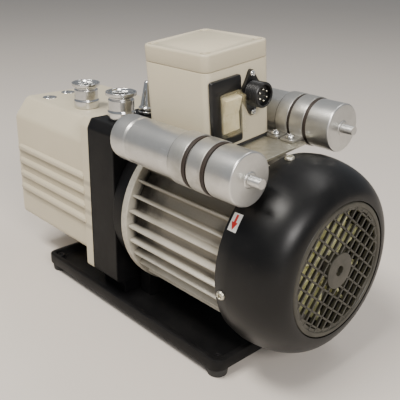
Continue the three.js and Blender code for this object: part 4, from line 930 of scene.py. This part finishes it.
def rocker_outline():
    """The key's side: a shallow V front, seen along the pivot, tilted with its lower end pressed in."""
    half = ROCKER["half"]
    c, s = math.cos(ROCKER["tilt"]), math.sin(ROCKER["tilt"])
    x, z = np.array([(5.5, 0), (8, half - 0.5), (0, half), (-5, 6), (-5, -6), (0, -half), (8, -half + 0.5)]).T
    return eased(np.stack([ROCKER["pivot"][0] + x * c + z * s, ROCKER["pivot"][1] - x * s + z * c], -1), 1.2)


IVORY = moulded_plastic("ivory_rocker_plastic", (0.86, 0.78, 0.52, 1), (0.72, 0.60, 0.34, 1), 0.3, 300)
key = skin("switch_rocker_key", [drawn(rocker_outline(), ROCKER["y"], "y")], on_motor, bevel=0.6)
fit(key, IVORY, "rocker_plastic", "switch_rocker", body="switch_key")


def boot_vinyl(name):
    """Clear vinyl gone yellow: see-through, wet-looking, and creased in soft folds."""
    f = Finish(name)
    fold = f.grain(1.0, 2, 0.5, f.stretched((120, 150, 60)))
    crease = f.cells(110, f.stretched((1, 1.4, 0.6)))
    age = f.span(f.grain(70, 4), 0.35, 0.7)
    colour = f.mix(age, (0.82, 0.76, 0.52, 1), (0.66, 0.52, 0.24, 1))
    return f.coat(colour, 0.1 + age * 0.1, fold * 1.2 + crease, 0.7, alpha=0.06 + age * 0.1,
                  coat_weight=0.8, coat_roughness=0.06)


def boot_shell():
    """A shallow pocket over the rocker: a flange, walls that lean in, and a flat front, as an outer and an
    inner face; each ring is the rim drawn in by some mm, at some x."""
    shape = (BOOT["y"], BOOT["z"], BOOT["corner"])
    outer = [(0, BOOT["flange"]), (0, 150.6), (1.2, 150.9), (1.6, 152), (2.4, 157.4), (3.2, 158.4),
             (4.6, 158.8), (8, 158.9)]
    inner = [(d + 1.0, x - 0.9) for d, x in reversed(outer[3:])] + [(2.4, BOOT["flange"])]
    return pressed(*shape, outer, "x"), pressed(*shape, [(9.5, 157.6)] + inner, "x")


outer, inner = boot_shell()
boot = skin("switch_boot_vinyl", [np.concatenate([inner[::-1], outer])], on_motor, edge=60)
fit(boot, boot_vinyl("yellowed_clear_vinyl"), "clear_boot", "switch_boot")

# ---- Round supply inlet ----
# A black plastic inlet with a threaded barrel for a screwed plug ring, and six plated pins inside.
# Two small screws hold its flange to the box.
INLET = {"y": 12, "z": 129, "wall": SWITCH["wall"], "plate": 3, "barrel": 11, "bore": 8.6, "length": 14,
         "pitch": 2}
FLANGE = {"radius": 12, "lugs_narrow": 5.5, "lugs_reach": 8}
PIN = {"circle": 4.8, "radius": 0.9, "count": 6}
INLET_SCREW = {"radius": 2.8, "height": 1.9, "seat": INLET["wall"] + INLET["plate"] + 0.2}
SCREW_FROM_MIDDLE = 16.5
centre = (INLET["y"], INLET["z"])
flange_face = INLET["wall"] + INLET["plate"]
end = flange_face + INLET["length"]
t = np.linspace(0, 2 * math.pi, 96, endpoint=False)
lug = np.clip((np.abs(np.sin(t)) - 0.62) / 0.3, 0, 1)
flange = np.stack([INLET["y"] + (FLANGE["radius"] - FLANGE["lugs_narrow"] * lug) * np.cos(t),
                   INLET["z"] + (FLANGE["radius"] + FLANGE["lugs_reach"] * lug) * np.sin(t)], -1)
turns = np.linspace(0, (INLET["length"] - 2) / INLET["pitch"], 90)
thread = np.stack([flange_face + 1 + turns * INLET["pitch"],
                   INLET["barrel"] - 0.55 * (0.5 - 0.5 * np.cos(2 * math.pi * turns))], -1)
barrel = np.concatenate([[(INLET["wall"], 9), (flange_face, INLET["barrel"] - 0.4)], thread, [
    (end - 0.4, INLET["barrel"] - 0.6), (end, INLET["barrel"] - 1), (end, INLET["bore"] + 0.3),
    (end - 0.4, INLET["bore"]), (end - 4, INLET["bore"]), (end - 4, 0)]])
shell = skin("supply_inlet_shell", [drawn(flange, (INLET["wall"], flange_face)),
                                    turned(barrel, centre, sides=96)], on_motor, edge=40)
fit(shell, BLACK_PLASTIC, "black_plastic", "supply_inlet")
pins = []
for k in range(PIN["count"]):
    turn = (k + 0.5) * 2 * math.pi / PIN["count"]
    at = (INLET["y"] + PIN["circle"] * math.cos(turn), INLET["z"] + PIN["circle"] * math.sin(turn))
    pins.append(turned([(end - 5, PIN["radius"]), (end - 1.4, PIN["radius"]), (end - 1, PIN["radius"] - 0.3),
                        (end - 0.8, 0)], at, sides=16))
PIN_PLATING = bright_steel("plated_pins", (0.80, 0.76, 0.62, 1))
fit(skin("supply_inlet_pins", pins, on_motor), PIN_PLATING, "bright_steel")
for i, side in enumerate((1, -1)):
    place = np.array([0, INLET["y"], INLET["z"] + side * SCREW_FROM_MIDDLE])
    head = pan_head(**INLET_SCREW)[..., [2, 0, 1]] + place
    screw(f"inlet_screw_{i + 1}", head, BRIGHT, "bright_steel")

# ---- Pieces inside ----
# The pump module, coupling, bearings, winding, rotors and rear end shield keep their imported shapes, each
# in its own metal, rubber or composite, because they hardly show from outside.
def machined_iron(name):
    """Oily machined iron: dark metal with tool lines and brown stains."""
    f = Finish(name)
    stain = f.span(f.grain(50, 5), 0.4, 0.7)
    colour = f.mix(stain, (0.20, 0.20, 0.21, 1), (0.12, 0.10, 0.08, 1))
    tool_lines = f.grain(1.0, 2, 0.5, f.stretched((2400, 60, 60)))
    return f.coat(colour, 0.3 + stain * 0.2, tool_lines, 0.03, metallic=0.85)


def enamelled_winding(name):
    """Copper winding and laminations under red-brown varnish, with fine lines of wire round it."""
    f = Finish(name)
    wire = f.grain(1.0, 2, 0.5, f.stretched((1500, 200, 200)))
    colour = f.mix(f.span(wire, 0.35, 0.65), (0.24, 0.085, 0.03, 1), (0.42, 0.18, 0.07, 1))
    return f.coat(colour, 0.35 + wire * 0.1, wire, 0.1, metallic=0.5)


dress(machined_iron("machined_iron"), "pump_stator", "pump_end_cover", "pump_rotor", "motor_rotor")
dress(enamelled_winding("enamelled_winding"), "stator_core")
VANE_COMPOSITE = moulded_plastic("vane_composite", (0.09, 0.06, 0.04, 1), (0.05, 0.035, 0.025, 1), 0.6)
dress(VANE_COMPOSITE, "vane_1", "vane_2")
dress(RUBBER, "drive_coupling")
dress(BRIGHT, "front_bearing", "rear_bearing")
dress(CAST, "rear_end_shield")

# ---- Floor, light and camera ----
# A plain pale floor under an even sky, a long soft key above the near side, a warm fill from the grille
# end, and a weak light above the far side. The camera looks down on the grille end and the near side.
def floor_paper(name):
    """Seamless pale paper: even and matt, with the faintest tone in it."""
    f = Finish(name)
    return f.coat(f.mix(f.grain(2, 2), (0.68, 0.62, 0.55, 1), (0.71, 0.65, 0.58, 1)), 0.8)


half = 4.0
mesh = bpy.data.meshes.new("floor")
mesh.from_pydata([(-half, -half, 0), (half, -half, 0), (half, half, 0), (-half, half, 0)], [], [(0, 1, 2, 3)])
floor = placed("floor", mesh)
mesh.materials.append(floor_paper("pale_floor"))

world = bpy.data.worlds.new("studio")
bpy.context.scene.world = world
world.use_nodes = True
sky = world.node_tree.nodes["Background"]
sky.inputs["Color"].default_value = (0.80, 0.84, 0.90, 1)
sky.inputs["Strength"].default_value = 0.36


def looking(right, above, back, at):
    """The matrix of a lamp or a camera at a place, from three directions: it looks away from back."""
    turn = np.eye(4)
    turn[:3, :4] = np.stack([right, above, back, at], -1)
    return Matrix(turn.tolist())


def softbox(name, at, towards, size, watts, colour):
    """A rectangular area light at a place, facing another."""
    light = bpy.data.lights.new(name, "AREA")
    light.shape = "RECTANGLE"
    light.size, light.size_y = size
    light.energy = watts
    light.color = colour
    back = np.array(at, float) - np.array(towards, float)
    back /= np.linalg.norm(back)
    right = np.cross((0, 0, 1), back)
    right /= np.linalg.norm(right)
    placed(name, light).matrix_world = looking(right, np.cross(back, right), back, at)


softbox("key", (-0.1, -0.85, 1.9), (0, 0, 0.12), (1.1, 0.45), 44, (1.0, 0.96, 0.90))
softbox("fill", (1.7, -0.7, 1.15), (0, 0, 0.1), (0.8, 0.5), 30, (1.0, 0.96, 0.93))
softbox("top", (0.3, 0.9, 1.9), (0.05, 0, 0.1), (1.2, 0.5), 9, (1.0, 0.98, 0.95))

CAMERA = {"at": (0.46145, -0.39670, 0.3555), "azimuth": 46.62, "elevation": 22.25, "roll": 1.17,
          "lens": 57.09, "sensor": 36}
a, e, r = (math.radians(CAMERA[k]) for k in ("azimuth", "elevation", "roll"))
back = np.array([math.sin(a) * math.cos(e), -math.cos(a) * math.cos(e), math.sin(e)])
level = np.array([math.cos(a), math.sin(a), 0])
rise = np.cross(back, level)
right = math.cos(r) * level + math.sin(r) * rise
above = -math.sin(r) * level + math.cos(r) * rise
camera_data = bpy.data.cameras.new("camera")
camera_data.lens = CAMERA["lens"]
camera_data.sensor_width = CAMERA["sensor"]
camera = placed("camera", camera_data)
camera.matrix_world = looking(right, above, back, CAMERA["at"])
bpy.context.scene.camera = camera
